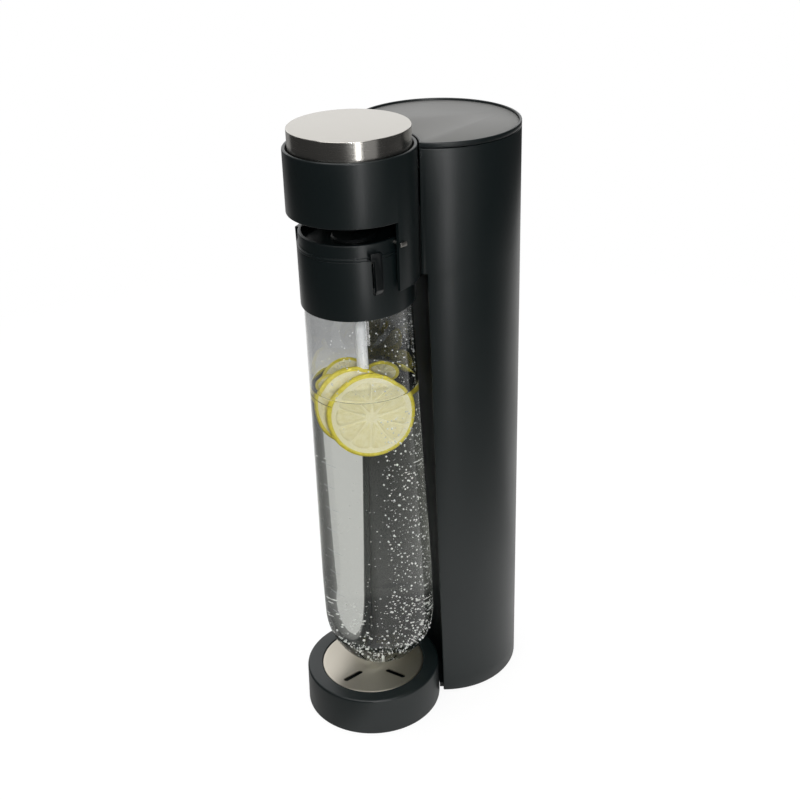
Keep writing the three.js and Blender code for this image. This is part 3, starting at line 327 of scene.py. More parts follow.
# Etched satin ABS: broad, soft stripes of light on the column, the head and the holder.
satin_abs = moulded_plastic("satin black ABS", "#0c1516", 0.36, 0.4, 0.2)
# ABS from a polished tool: thin bright edges, which set the keys off from the collar.
key_abs = moulded_plastic("polished black ABS", "#070b0c", 0.18, 0.6, 0.08)
# ABS from a blasted tool: hardly a highlight, so the hollow behind the bottle stays dark.
matt_abs = moulded_plastic("matt black ABS", "#0b1112", 0.45, 0.5, 0.15)
# Grey ABS with an etched face: an even grey that only the window light changes.
inlay_abs = moulded_plastic("grey ABS inlay", "#666664", 0.5, 0.5, 0.3)
print("plastics:", satin_abs.name, key_abs.name, matt_abs.name, inlay_abs.name)

# %% [markdown]
# ## Brush lines
# A brush leaves fine parallel lines in steel. They are drawn as a noise that is stretched
# along the way the brush went. For straight lines, one axis is squeezed before the noise
# is read. For lines that run round, it is read by angle and by distance from the axis, so
# that it hardly changes along a circle. A picture of real lines would show its seams.

# %% Brush lines
MEAN_RADIUS = 40  # millimetres; turns an angle into a length along the lines


def brush_lines(tree, direction, stretch, axis):
    """Where the brush lines are read: coordinates squeezed along the way the brush went."""
    place = add_node(tree, "ShaderNodeTexCoord").outputs["Object"]
    centred = add_node(tree, "ShaderNodeMapping", {
        "Vector": place, "Location": (-axis[0] * MM, -axis[1] * MM, 0),
    })
    if direction == "straight":
        return add_node(tree, "ShaderNodeMapping", {"Vector": centred, "Scale": (1 / stretch, 1, 1)})
    parts = add_node(tree, "ShaderNodeSeparateXYZ", {"Vector": centred}).outputs
    angle = add_node(tree, "ShaderNodeMath", {0: parts["Y"], 1: parts["X"]}, operation="ARCTAN2")
    along = add_node(tree, "ShaderNodeMath", {
        0: angle, 1: MEAN_RADIUS * MM / stretch,
    }, operation="MULTIPLY")
    flat = add_node(tree, "ShaderNodeCombineXYZ", {"X": parts["X"], "Y": parts["Y"]})
    radius = add_node(tree, "ShaderNodeVectorMath", {0: flat}, operation="LENGTH")
    return add_node(tree, "ShaderNodeCombineXYZ", {"X": along, "Y": radius, "Z": parts["Z"]})


print("a full turn is read as", round(2 * math.pi * MEAN_RADIUS), "mm along the lines")

# %% [markdown]
# ## The steel
# The cap and the drip plate are stainless steel. The cap's side and the plate were
# brushed while they turned, so their fine lines run round the axis and draw the light out
# across them. The cap's flat top was brushed straight. Real lines are about 0.05 mm
# apart, too fine to show, so they are drawn five times coarser.

# %% Brushed steel
def brushed_steel(name, roughness, direction, pitch_mm, stretch, hex_value="#c8c5bf", axis=(0, HEAD_Y)):
    """Metal with brush lines that run round an axis or straight along X."""
    material, tree = start_material(name)
    brush = add_node(tree, "ShaderNodeTexNoise", {
        "Vector": brush_lines(tree, direction, stretch, axis),
        "Scale": 1 / (pitch_mm * MM), "Detail": 4.0, "Roughness": 0.7,
    })
    gloss = add_node(tree, "ShaderNodeMapRange", {
        "Value": brush, "To Min": roughness - 0.08, "To Max": roughness + 0.08,
    })
    relief = add_node(tree, "ShaderNodeBump", {
        "Height": brush, "Strength": 0.25, "Distance": 0.02 * MM,
    })
    skin = add_node(tree, "ShaderNodeBsdfPrincipled", {
        "Base Color": colour(hex_value), "Metallic": 1.0, "Roughness": gloss, "Normal": relief,
    })
    if direction != "straight":
        skin.inputs["Anisotropic"].default_value = 0.7
        skin.inputs["Anisotropic Rotation"].default_value = 0.25
        around_axis = add_node(tree, "ShaderNodeTangent", direction_type="RADIAL", axis="Z")
        tree.links.new(around_axis.outputs["Tangent"], skin.inputs["Tangent"])
    add_node(tree, "ShaderNodeOutputMaterial", {"Surface": skin})
    return material


# Stainless steel brushed on a lathe: one bright upright stripe on the cap's side.
cap_side_steel = brushed_steel("steel brushed round", 0.25, "round", 0.25, 60)
# The same steel brushed along a straight belt: an even, silky top.
cap_top_steel = brushed_steel("steel brushed straight", 0.38, "straight", 0.25, 60)
# The drip plate's steel, a little warmer: a fan of lighter and darker sectors.
plate_steel = brushed_steel("steel plate brushed round", 0.35, "round", 0.3, 60, "#c4beb2")
# Plain rolled steel of pins, screws, lever and spring: dull, with short lines.
plain_steel = brushed_steel("steel of small parts", 0.3, "straight", 0.3, 8)
print("steels:", cap_side_steel.name, cap_top_steel.name, plate_steel.name, plain_steel.name)

# %% [markdown]
# ## Materials inside the machine
# The gas cylinder is spun aluminium and the valve block is turned brass. A lathe leaves
# fine rings on both, so they use the brushed metal about their own axis. The feet and the
# seals are rubber, and the tubes are polypropylene that was left without colour. Most of
# them show only when the cover is lifted, or from below.

# %% Metals, rubber and the tubes
CYLINDER_AXIS = (0, COLUMN_Y + 22)

# Spun aluminium: a grey, softly ringed face.
cylinder_metal = brushed_steel("spun aluminium", 0.38, "round", 0.4, 60, "#a9abae", CYLINDER_AXIS)
# Brass from the lathe: yellow, with a tighter highlight.
brass = brushed_steel("turned brass", 0.3, "round", 0.4, 60, "#b8924a", CYLINDER_AXIS)
# Moulded rubber: dull and nearly black.
rubber = moulded_plastic("black rubber", "#121212", 0.85, 0.6, 0.5)
# Moulded polypropylene without colour: nearly white, as it shows through water and wall.
tube_plastic = moulded_plastic("pale grey polypropylene", "#f6f6f7", 0.4, 0.5, 0.1)
print("other materials:", cylinder_metal.name, brass.name, rubber.name, tube_plastic.name)

# %% [markdown]
# ## The column
# The column is a C-shaped sleeve. Its front is cut away along a leaning cylinder that
# leaves room for the bottle, and higher up round the head. A boolean cut would leave a
# knife edge. So the sleeve is a stack of C-shaped sections, each with rounded edges,
# because the thin bright line along the cut edge comes from that small radius.

# %% The column's sleeve
sleeve_box = box_in_mm("column_sleeve")
SLEEVE_BOTTOM, SLEEVE_TOP = sleeve_box[0].z, sleeve_box[1].z
SLEEVE_WALL = 2.2
SLEEVE_HEAD_GAP = 0.9
RECESS_RADIUS = 46.7


def opening_angle(radius, z):
    """Half the angle, from the front, that the bottle or the head cuts out of the column."""
    if z > SKIRT_BOTTOM:
        return corner_angle(radius, COLUMN_Y - HEAD_Y, HEAD_RADIUS + SLEEVE_HEAD_GAP)
    return corner_angle(radius, COLUMN_Y - lean_y(z), RECESS_RADIUS)


def sleeve_section(z, inset, count=150):
    """One C-shaped section: the outer arc, a rounded edge, the inner arc, and back."""
    corners = []
    for radius, edge, way in ((COLUMN_RADIUS - inset, 0.7, 1), (COLUMN_RADIUS - SLEEVE_WALL, 0.6, -1)):
        half = opening_angle(radius, z)
        points = arc(radius, 0, half, 2 * math.pi - half, count)[::way]
        corners += [(x, y, edge if k in (0, count) else 0) for k, (x, y) in enumerate(points)]
    return [(x, y + COLUMN_Y, z) for x, y in soften(corners)]


# Heights, and how far the outside is drawn in there to round the two ends.
opening = SKIRT_BOTTOM - SLEEVE_BOTTOM
stack = [(SLEEVE_BOTTOM, 0.9), (SLEEVE_BOTTOM + 0.3, 0.35), (SLEEVE_BOTTOM + 0.9, 0)]
stack += [(SLEEVE_BOTTOM + opening * k / 60, 0) for k in range(2, 60)]
stack += [(SKIRT_BOTTOM, 0), (SKIRT_BOTTOM + 0.02, 0), (SLEEVE_TOP - 0.6, 0)]
stack += [(SLEEVE_TOP - 0.2, 0.15), (SLEEVE_TOP, 0.5)]
sleeve = lofted("column_cover", [sleeve_section(z, inset) for z, inset in stack], sharp=SOFT)
wear(sleeve, satin_abs, "cover", "satin_black", "column_sleeve")
print("half the opening at the foot:", round(math.degrees(opening_angle(COLUMN_RADIUS, 1)), 1))

# %% [markdown]
# ## The column's lid
# The lid is a disc with a bite taken out of it by the head. A thin rim stands up all
# along its edge, round a sunk grey face. Two cylinders and a boolean would give the disc,
# but not the rounded rim. Here one function gives the outline at any distance in from the
# edge, so the rim is a loft of the same outline: up, over its round top, and down inside.

# %% The lid and its inlay
LID_TOP = lid_box[1].z
LID_HEIGHT = 3.3
LID_RIM = 1.7
LID_SINK = 1.3
INLAY_HEIGHT = 0.8


def crescent(inset, z, outer_count=150, inner_count=60):
    """The lid's outline, drawn in by a distance."""
    outer, bite = COLUMN_RADIUS - inset, HEAD_RADIUS + SLEEVE_HEAD_GAP + inset
    reach = COLUMN_Y - HEAD_Y
    wide, narrow = corner_angle(outer, reach, bite), corner_angle(bite, reach, outer)
    points = arc(outer, COLUMN_Y, wide, 2 * math.pi - wide, outer_count)
    points += arc(bite, HEAD_Y, math.pi + narrow, math.pi - narrow, inner_count)[1:-1]
    return [(x, y, z) for x, y in points]


# How far in from the edge, and how high above the lid's underside: up, over and down.
rim = [
    (0.5, 0.0), (0.15, 0.15), (0.0, 0.5), (0.0, 2.6), (0.12, 3.05), (0.45, LID_HEIGHT),
    (1.25, LID_HEIGHT), (1.55, 3.18), (LID_RIM, 2.85), (LID_RIM, LID_HEIGHT - LID_SINK - 0.9),
]
lid_bottom = LID_TOP - LID_HEIGHT
lid = lofted("column_top_lid", [crescent(inset, lid_bottom + rise) for inset, rise in rim], sharp=SOFT)
wear(lid, satin_abs, "cover", "satin_black", "column_lid")

face_top, edge = LID_TOP - LID_SINK, LID_RIM + SEAT_GAP
inlay = lofted("lid_face", [
    crescent(edge, face_top - INLAY_HEIGHT), crescent(edge, face_top - 0.25),
    crescent(edge + 0.25, face_top),
], sharp=SOFT)
wear(inlay, inlay_abs, "cover", "inlay_grey", "lid_inlay")
print("the grey face lies", LID_SINK, "mm below the rim")

# %% [markdown]
# ## The spine
# The spine is the dark hollow face behind the bottle. It is a C-shaped moulding that
# follows the leaning bottle below and wraps the head's skirt above, open at the back. The
# hollow could be cut out of a block, but as a wall of even thickness it is lofted like
# the sleeve: each section runs along one face of the wall and back along the other.

# %% The spine
spine_box = box_in_mm("spine")
SPINE_RADIUS = spine_box[1].x
SPINE_BOTTOM, SPINE_TOP = spine_box[0].z, spine_box[1].z
SPINE_WALL = 2.5
SPINE_BACK = 5.0  # how far its side walls run past the column's axis


def spine_section(z, count=60):
    """Half a disc with the bottle's or the skirt's round cut out of its front, as a wall."""
    if z > SKIRT_BOTTOM:
        reach, cutter = COLUMN_Y - HEAD_Y, HEAD_RADIUS + SEAT_GAP
    else:
        reach, cutter = COLUMN_Y - lean_y(z), RECESS_RADIUS + 0.6
    points = []
    for way, radius, hollow in (
        (1, SPINE_RADIUS, cutter), (-1, SPINE_RADIUS - SPINE_WALL, cutter + SPINE_WALL),
    ):
        side = math.pi / 2 + math.asin(SPINE_BACK / radius)
        wide, narrow = corner_angle(radius, reach, hollow), corner_angle(hollow, reach, radius)
        face = arc(radius, 0, side, wide, count)
        face += arc(hollow, -reach, math.pi - narrow, math.pi + narrow, count)[1:-1]
        face += arc(radius, 0, -wide, -side, count)
        points += face[::way]
    return [(x, y + COLUMN_Y, z) for x, y in points]


levels = [SPINE_BOTTOM + (SKIRT_BOTTOM - SPINE_BOTTOM) * k / 30 for k in range(31)]
levels += [SKIRT_BOTTOM + 0.02, SPINE_TOP]
spine = lofted("spine_moulding", [spine_section(z) for z in levels], sharp=SOFT)
wear(spine, matt_abs, "stand", "plastic_black", "spine")

# %% [markdown]
# ## Making a cut
# Slots and holes that cross a round wall can't be part of its outline, so booleans cut
# them. Each cutter is one modifier, and all of them are baked at once into a plain mesh.
# The cutters are removed when the cut is made.

# %% Making a cut
SOLVER = "EXACT"  # the careful kind of boolean, which copes with faces that nearly touch


def bake_modifiers(piece, sharp=CRISP):
    """Turns a piece and its modifiers into a plain mesh."""
    graph = bpy.context.evaluated_depsgraph_get()
    mesh = bpy.data.meshes.new_from_object(piece.evaluated_get(graph))
    piece.modifiers.clear()
    piece.data = mesh
    finish_mesh(mesh, sharp)


def cut_out(piece, *cutters, sharp=CRISP):
    """Cuts the cutters' shapes out of a piece and removes the cutters."""
    for cutter in cutters:
        cut = piece.modifiers.new("cut", "BOOLEAN")
        cut.operation, cut.solver, cut.object = "DIFFERENCE", SOLVER, cutter
    bake_modifiers(piece, sharp)
    for cutter in cutters:
        bpy.data.objects.remove(cutter)
    print(piece.name, "after its cuts:", len(piece.data.vertices), "corners")


print("kind of boolean:", SOLVER)

# %% [markdown]
# ## What is cut out of the head
# The head's wall has slots for the lever and the gas pipe, and holes for the hinge pins.
# The cutters are two blocks and a rod that goes through both sides. A hole could be cut
# at each side, but one rod keeps the two holes on one line, as one drill does.

# %% Blocks and rods
LEVER_SLOT = (-8.4, HEAD_Y, 396.5), (8.4, 5, 408.4)  # its low and its high corner
PIPE_SLOT = (-24.7, HEAD_Y + 10, 396.4), (-16.3, 5, 402.4)
PIN_HOLE_RADIUS = 1.8


def box_piece(name, low, high, move=None):
    """A plain block, used to cut with and to start bevelled pieces from."""
    ends = list(zip(low, high))
    points = [(x, y, z) for x in ends[0] for y in ends[1] for z in ends[2]]
    faces = [(0, 1, 3, 2), (4, 6, 7, 5), (0, 4, 5, 1), (2, 3, 7, 6), (0, 2, 6, 4), (1, 5, 7, 3)]
    return new_piece(name, points, faces, move)


def rod_piece(name, radius, start, end, sides=48):
    """A round rod between two points."""
    along = Vector(end) - Vector(start)
    turn = Vector((0, 0, 1)).rotation_difference(along).to_matrix().to_4x4()
    outline = [(0, 0), (radius, 0), (radius, along.length), (0, along.length)]
    return turned(name, outline, sides, (0, 0), Matrix.Translation(Vector(start)) @ turn)


head_cutters = [
    box_piece("lever_slot", *LEVER_SLOT),
    box_piece("pipe_slot", *PIPE_SLOT),
    rod_piece("pin_hole", PIN_HOLE_RADIUS, (-50, PIVOT.y, PIVOT.z), (50, PIVOT.y, PIVOT.z)),
]
print("cutters for the head:", [cutter.name for cutter in head_cutters])

# %% [markdown]
# ## The head
# The head is a deep ring with a rounded lip. Behind the holder its wall goes on down as a
# skirt. A ring and half a ring could be joined, but a seam would show. So one outline is
# swept round the axis, and its lower end jumps down where the skirt starts, which leaves
# the skirt's straight edge on each side. Inside, a ledge carries the head's floor.

# %% The head's housing
HEAD_WALL = 2.4
LEDGE_TOP, LEDGE_WIDTH = HEAD_TOP - 22.5, 2


def housing_outline(bottom):
    """The wall's outline, from its lower end up over the lip and down inside."""
    inner, ledge = HEAD_RADIUS - HEAD_WALL, HEAD_RADIUS - HEAD_WALL - LEDGE_WIDTH
    return soften([
        (HEAD_RADIUS, bottom, 0.6), (HEAD_RADIUS, HEAD_TOP, 1.2), (inner, HEAD_TOP, 1.1),
        (inner, LEDGE_TOP, 0.2), (ledge, LEDGE_TOP, 0.4), (ledge, LEDGE_TOP - 3, 0.4),
        (inner, LEDGE_TOP - 5, 0.2), (inner, bottom, 0.6),
    ])


def head_housing(half=96):
    """The outline swept round: short in front, and down to the skirt's end behind."""
    front, back = housing_outline(HEAD_BOTTOM), housing_outline(SKIRT_BOTTOM)
    columns = [(-math.pi / 2 + math.pi * k / half, front) for k in range(half + 1)]
    columns += [(math.pi / 2 + math.pi * k / half, back) for k in range(half + 1)]
    points = [on_circle(r, angle, z) for angle, outline in columns for r, z in outline]
    return new_piece("head_shell", points, grid_faces(len(columns), len(front)), sharp=SOFT)


head = head_housing()
cut_out(head, *head_cutters, sharp=SOFT)
wear(head, satin_abs, "stand", "satin_black", "head_housing")

# %% [markdown]
# ## The push cap
# The cap is a shallow steel cup, pressed from sheet 1.2 mm thick. It could be a cylinder
# with a thickness and a bevel, but a turned outline lets the outer edge be rounder than
# the inner one, as pressing leaves it. Its side is brushed round and its top straight, so
# the two faces get a material each.

# %% The steel cap
CAP_RADIUS = cap_box[1].x
CAP_BOTTOM, CAP_TOP = cap_box[0].z, cap_box[1].z
CAP_WALL = 1.2

inside, under_top = CAP_RADIUS - CAP_WALL, CAP_TOP - CAP_WALL
cup = soften([
    (0, CAP_TOP, 0), (CAP_RADIUS, CAP_TOP, 0.8), (CAP_RADIUS, CAP_BOTTOM, 0.2),
    (inside, CAP_BOTTOM, 0.2), (inside, under_top, 0.4), (0, under_top, 0),
], steps=6)
cap = turned("steel_cap", cup, sharp=ROUND)
wear(cap, cap_side_steel, "cap", "steel", "push_cap")
cap.data.materials.append(cap_top_steel)
for face in cap.data.polygons:
    if face.normal.z > 0.9 and face.center.z > (CAP_TOP - 0.4) * MM:
        face.material_index = 1
print("faces of the cap's top:", sum(face.material_index for face in cap.data.polygons))

# %% [markdown]
# ## Room for the keys
# The holder has a slot on each side for its release key. Each key is drawn at the front,
# where it is easy to think about, and one matrix takes it round to its place on the
# leaning holder. The same matrix places the blocks that cut its room.

# %% Sizes of the holder and room for its keys
SHOULDER = RING_TOP - 10.6  # where the ring stands on the collar
COLLAR_BOTTOM = SHOULDER - 40.4
RING_RADIUS = 36.0
COLLAR_RADIUS = 37.3
COLLAR_FOOT_RADIUS = 38.1
COLLAR_WALL = 1.5

KEY_AZIMUTH = math.radians(69.3)
KEY_WIDTH, KEY_HOOK = 5.4, 2.5
KEY_OUTER, KEY_INNER = COLLAR_RADIUS + 5, COLLAR_RADIUS + 1
KEY_TOP = SHOULDER + 6.2
KEY_BOTTOM = KEY_TOP - 29.4
KEY_HOOK_BOTTOM = KEY_TOP - 4.8
KEY_PLAY = 0.4
KEY_STEM = (-2, -KEY_INNER - 2, 352.6), (2, -29, 361.6)  # its low and its high corner
KEY_PLATE = (-5.2, -35.1, 350.1), (5.2, -33.6, 364.1)


def at_key(side):
    """Places what is made at the front, facing -Y, at a key's azimuth on the holder."""
    turn = Matrix.Rotation(side * KEY_AZIMUTH, 4, "Z")
    return HOLDER_LEAN @ Matrix.Translation((0, HEAD_Y, 0)) @ turn


def key_rooms(inner):
    """Blocks that cut the room for both keys out of a wall, from an inner radius."""
    half, top = KEY_WIDTH / 2 + KEY_PLAY, KEY_TOP + KEY_PLAY
    rooms = []
    for side in (-1, 1):
        low, high = (-half, -HEAD_RADIUS, KEY_BOTTOM - KEY_PLAY), (half, -inner, top)
        rooms.append(box_piece("bar_room", low, high, at_key(side)))
        low = (-half - KEY_HOOK, -HEAD_RADIUS, KEY_HOOK_BOTTOM - KEY_PLAY)
        rooms.append(box_piece("hook_room", low, (0, -inner, top), at_key(side)))
    return rooms


print("a key is", round(KEY_TOP - KEY_BOTTOM, 1), "mm long and stands out by", KEY_OUTER - COLLAR_RADIUS)

# %% [markdown]
# ## The holder's ring
# The holder is two turned mouldings, one on the other. The upper one is a ring that hangs
# on the hinge pins. Its deck has a hole for the nozzle, and the flange below it hangs in
# the collar's shoulder, so the line between the two shows as on the real piece.

# %% The holder's ring
seat = SHOULDER + SEAT_GAP
flange_top = seat + 1.7
ring_wall = RING_RADIUS - 2.6
deck_top = RING_TOP - 6.8
deck_under = deck_top - 3
flange_foot = SHOULDER - 2
ring_outline = soften([
    (COLLAR_RADIUS, seat, 0.15), (COLLAR_RADIUS, flange_top, 0.35), (RING_RADIUS, flange_top, 0.25),
    (RING_RADIUS, RING_TOP, 1.0), (ring_wall, RING_TOP, 0.9), (ring_wall, deck_top, 0.6),
    (12.3, deck_top, 0.3), (12.3, deck_under, 0.2), (24.5, deck_under, 0.2),
    (24.5, flange_foot, 0.3), (26.6, flange_foot, 0.3), (26.6, seat, 0.15),
])
ring = turned("holder_upper_ring", ring_outline, move=HOLDER_LEAN)
cut_out(ring, *key_rooms(RING_RADIUS))
wear(ring, satin_abs, "holder", "satin_black", "holder_ring")

# %% [markdown]
# ## The holder's collar
# The lower moulding hides the bottle's neck. It widens a little downwards, as a moulded
# skirt does so that it can leave its tool, and its deck carries the ring's flange. It is
# turned too, and the same blocks, started from a smaller radius, cut it for the keys.

# %% The holder's collar
deck = SHOULDER - 2.2
collar_outline = soften([
    (COLLAR_FOOT_RADIUS, COLLAR_BOTTOM, 0.7), (COLLAR_RADIUS, SHOULDER, 0.35), (26.9, SHOULDER, 0.2),
    (26.9, deck, 0.2), (COLLAR_RADIUS - COLLAR_WALL, deck, 0.4),
    (COLLAR_FOOT_RADIUS - COLLAR_WALL, COLLAR_BOTTOM, 0.5),
])
collar = turned("holder_lower_collar", collar_outline, move=HOLDER_LEAN)
cut_out(collar, *key_rooms(COLLAR_RADIUS - COLLAR_WALL - 2))
wear(collar, satin_abs, "holder", "satin_black", "holder_collar")

# %% [markdown]
# ## Joining and bevelling
# Some pieces are one moulding on the real object, but easier to draw in parts. The parts
# are joined into one mesh, so that the piece moves as one. A block's sharp edges are
# rounded by a bevel, which is quicker there than an outline.

# %% Joining and bevelling
BEVEL_ROWS = 3  # rows of faces round a bevelled edge


def joined(name, parts, move=None):
    """One object from several, moved by a matrix in millimetres; the parts are removed."""
    work = bmesh.new()
    for part in parts:
        work.from_mesh(part.data)
        bpy.data.objects.remove(part)
    work.transform(Matrix.Scale(MM, 4) @ (move or Matrix.Identity(4)) @ Matrix.Scale(1 / MM, 4))
    mesh = bpy.data.meshes.new(name)
    work.to_mesh(mesh)
    work.free()
    mesh.shade_smooth()
    mesh.set_sharp_from_angle(angle=math.radians(CRISP))
    return link_piece(name, mesh)


def bevel_edges(piece, width):
    """Rounds a piece's sharp edges."""
    bevel = piece.modifiers.new("edge", "BEVEL")
    bevel.width, bevel.segments, bevel.limit_method = width * MM, BEVEL_ROWS, "ANGLE"
    bake_modifiers(piece)


print("rows of faces round a bevelled edge:", BEVEL_ROWS)

# %% [markdown]
# ## The release keys
# Each key is a bar with a small hook at its top and a sloping foot. Both are one moulding,
# so their hooks point the same way round. The outline is drawn flat, given its thickness,
# sliced along the slope, and bevelled, because the light shows its edges. A stem goes
# through the collar to a plate that keeps the key in.

# %% The two keys
def key_bar(slope_out=4.4, slope_up=2.8):
    """The hooked bar, with its foot sliced along a slope."""
    half = KEY_WIDTH / 2
    flat = [
        (-half, KEY_BOTTOM), (half, KEY_BOTTOM), (half, KEY_TOP), (-half - KEY_HOOK, KEY_TOP),
        (-half - KEY_HOOK, KEY_HOOK_BOTTOM), (-half, KEY_HOOK_BOTTOM),
    ]
    bar = lofted("key_bar", [[(x, -r, z) for x, z in flat] for r in (KEY_OUTER, KEY_INNER)])
    work = bmesh.new()
    work.from_mesh(bar.data)
    sliced = bmesh.ops.bisect_plane(
        work, geom=work.verts[:] + work.edges[:] + work.faces[:], clear_outer=True,
        plane_co=(0, -KEY_OUTER * MM, (KEY_BOTTOM + slope_out) * MM),
        plane_no=(0, -slope_out, -slope_up),
    )
    rim = [e for e in sliced["geom_cut"] if isinstance(e, bmesh.types.BMEdge)]
    bmesh.ops.contextual_create(work, geom=rim)
    work.to_mesh(bar.data)
    work.free()
    bevel_edges(bar, 0.6)
    return bar


for side, word in ((-1, "left"), (1, "right")):
    stem, plate = box_piece("key_stem", *KEY_STEM), box_piece("key_plate", *KEY_PLATE)
    key = joined(f"side_key_{word}", (key_bar(), stem, plate), at_key(side))
    wear(key, key_abs, f"key_{word}", "plastic_black", f"release_key_{word}")

# %% [markdown]
# ## The hinge pins
# A steel pin with a flat head on each side carries the holder. The head is a bevelled
# block that lies on the skirt, where it catches the light as a small bright bar.

# %% The hinge pins
PIN_RADIUS, PIN_INNER_END = 1.5, 30.4
PIN_HEAD = Vector((1.1, 2.8, 1.45))  # how thick it is, half its length and half its height

for side, word in ((-1, "left"), (1, "right")):
    face = HEAD_RADIUS + SEAT_GAP
    ends = [(side * x, PIVOT.y, PIVOT.z) for x in (PIN_INNER_END, face + 0.4)]
    rod = rod_piece("pin_rod", PIN_RADIUS, *ends, 32)
    near, far = sorted((side * face, side * (face + PIN_HEAD.x)))
    low = (near, PIVOT.y - PIN_HEAD.y, PIVOT.z - PIN_HEAD.z)
    high = (far, PIVOT.y + PIN_HEAD.y, PIVOT.z + PIN_HEAD.z)
    flat_head = box_piece("pin_head", low, high)
    bevel_edges(flat_head, 0.35)
    pin = joined(f"pin_{word}", (rod, flat_head))
    wear(pin, plain_steel, "stand", "steel", f"hinge_pin_{word}")

# %% [markdown]
# ## The drip tray
# The tray is a thick black ring with a well in it. It is one turned outline: down in the
# well, over the thick rim, down its outside, and back up underneath. A notch behind makes
# room for the tongue that holds it.

# %% The tray
tray_box = box_in_mm("drip_tray")
TRAY_BOTTOM, TRAY_TOP = tray_box[0].z, tray_box[1].z
TRAY_FOOT_RADIUS = tray_box[1].x
TRAY_RADIUS = TRAY_FOOT_RADIUS - 0.6
TRAY_MOUTH = 38.9
WELL_RADIUS = TRAY_MOUTH - 3
TRAY_WALL = 2.4
TRAY_FLOOR, TRAY_UNDER = 9, 6.3
PLATE_SEAT = 28.7
NOTCH = (-28.4, HEAD_Y, -2), (28.4, HEAD_Y + 53, TRAY_UNDER)  # its low and its high corner

tray_outline = soften([
    (0, TRAY_FLOOR, 0), (WELL_RADIUS, TRAY_FLOOR, 1.0), (WELL_RADIUS, PLATE_SEAT, 0.2),
    (TRAY_MOUTH, PLATE_SEAT, 0.2), (TRAY_MOUTH, TRAY_TOP, 0.6), (TRAY_RADIUS, TRAY_TOP, 1.7),
    (TRAY_FOOT_RADIUS, TRAY_BOTTOM, 0.5), (TRAY_FOOT_RADIUS - TRAY_WALL, TRAY_BOTTOM, 0.4),
    (TRAY_RADIUS - TRAY_WALL, 28.1, 0.5), (40.1, 28.1, 0.4), (WELL_RADIUS + TRAY_WALL, 26.3, 0.4),
    (WELL_RADIUS + TRAY_WALL, TRAY_UNDER, 0.4), (0, TRAY_UNDER, 0),
])
tray = turned("tray_ring", tray_outline)
cut_out(tray, box_piece("notch", *NOTCH))
wear(tray, satin_abs, "tray", "satin_black", "drip_tray")

# %% [markdown]
# ## The drip plate
# A steel plate lies in the tray's mouth. It sinks to its middle like a flat funnel, so it
# shows the fan of light that brushed cones have. Four round-ended slots are cut in it
# like spokes. A node group could repeat them, but for four cuts a loop is plainer.

# %% The steel plate
PLATE_RADIUS, PLATE_TOP, PLATE_SHEET = TRAY_MOUTH - 0.4, 30.0, 1.0
PLATE_DIP, DIP_RADIUS = 4.6, 6.5
SLOT_END_RADIUS, SLOT_NEAR, SLOT_FAR = 1.8, 14.8, 30.2

upper, lower = PLATE_TOP, PLATE_TOP - PLATE_SHEET
plate_outline = soften([
    (0, upper - PLATE_DIP, 0), (DIP_RADIUS, upper - PLATE_DIP, 2.0), (PLATE_RADIUS - 2.0, upper, 1.2),
    (PLATE_RADIUS, upper, 0.4), (PLATE_RADIUS, lower, 0.3), (PLATE_RADIUS - 2.0, lower, 1.2),
    (DIP_RADIUS, lower - PLATE_DIP, 2.0), (0, lower - PLATE_DIP, 0),
])
plate = turned("tray_plate", plate_outline, sharp=SOFT)


def slot_cutter(turn_degrees, count=12):
    """A round-ended bar that cuts one spoke-like slot."""
    flat = []
    for start, centre in ((0, -SLOT_NEAR), (math.pi, -SLOT_FAR)):
        for k in range(count + 1):
            angle = start + math.pi * k / count
            flat.append((SLOT_END_RADIUS * math.cos(angle), centre + SLOT_END_RADIUS * math.sin(angle)))
    move = Matrix.Translation((0, HEAD_Y, 0)) @ Matrix.Rotation(math.radians(turn_degrees), 4, "Z")
    return lofted("slot_cutter", [[(x, y, z) for x, y in flat] for z in (15, 35)], move)


cut_out(plate, *[slot_cutter(5 + 90 * k) for k in range(4)], sharp=SOFT)
wear(plate, plate_steel, "tray", "steel", "drip_plate")

# %% [markdown]
# ## Clear materials
# The bottle is blown PET, a clear plastic with a high index of light. Where its inner face
# is wet, light goes straight from plastic to water, so that face bends it by the ratio of
# the two indices and mirrors almost nothing. The water keeps only its surface as a mirror,
# and its sides are left clear. Lamps can't be found through clear walls, so a shadow ray
# passes straight through them, with a little loss.
#
# Real water has an index of 1.333. A lower one is used here, because the bottle then
# draws the white floor behind it out to the broad light band that a real bottle shows
# from this side.

# %% PET and water
WATER_LEVEL = 268.0
PET_INDEX, WATER_INDEX = 1.57, 1.235


def clear_to_lamps(tree, shader, loss):
    """Ends a material so that the lamps' light passes straight through, with a loss."""
    passed = add_node(tree, "ShaderNodeBsdfTransparent", {"Color": colour(loss)})
    path = add_node(tree, "ShaderNodeLightPath").outputs
    mix = add_node(tree, "ShaderNodeMixShader", {0: path["Is Shadow Ray"], 1: shader, 2: passed})
    add_node(tree, "ShaderNodeOutputMaterial", {"Surface": mix})


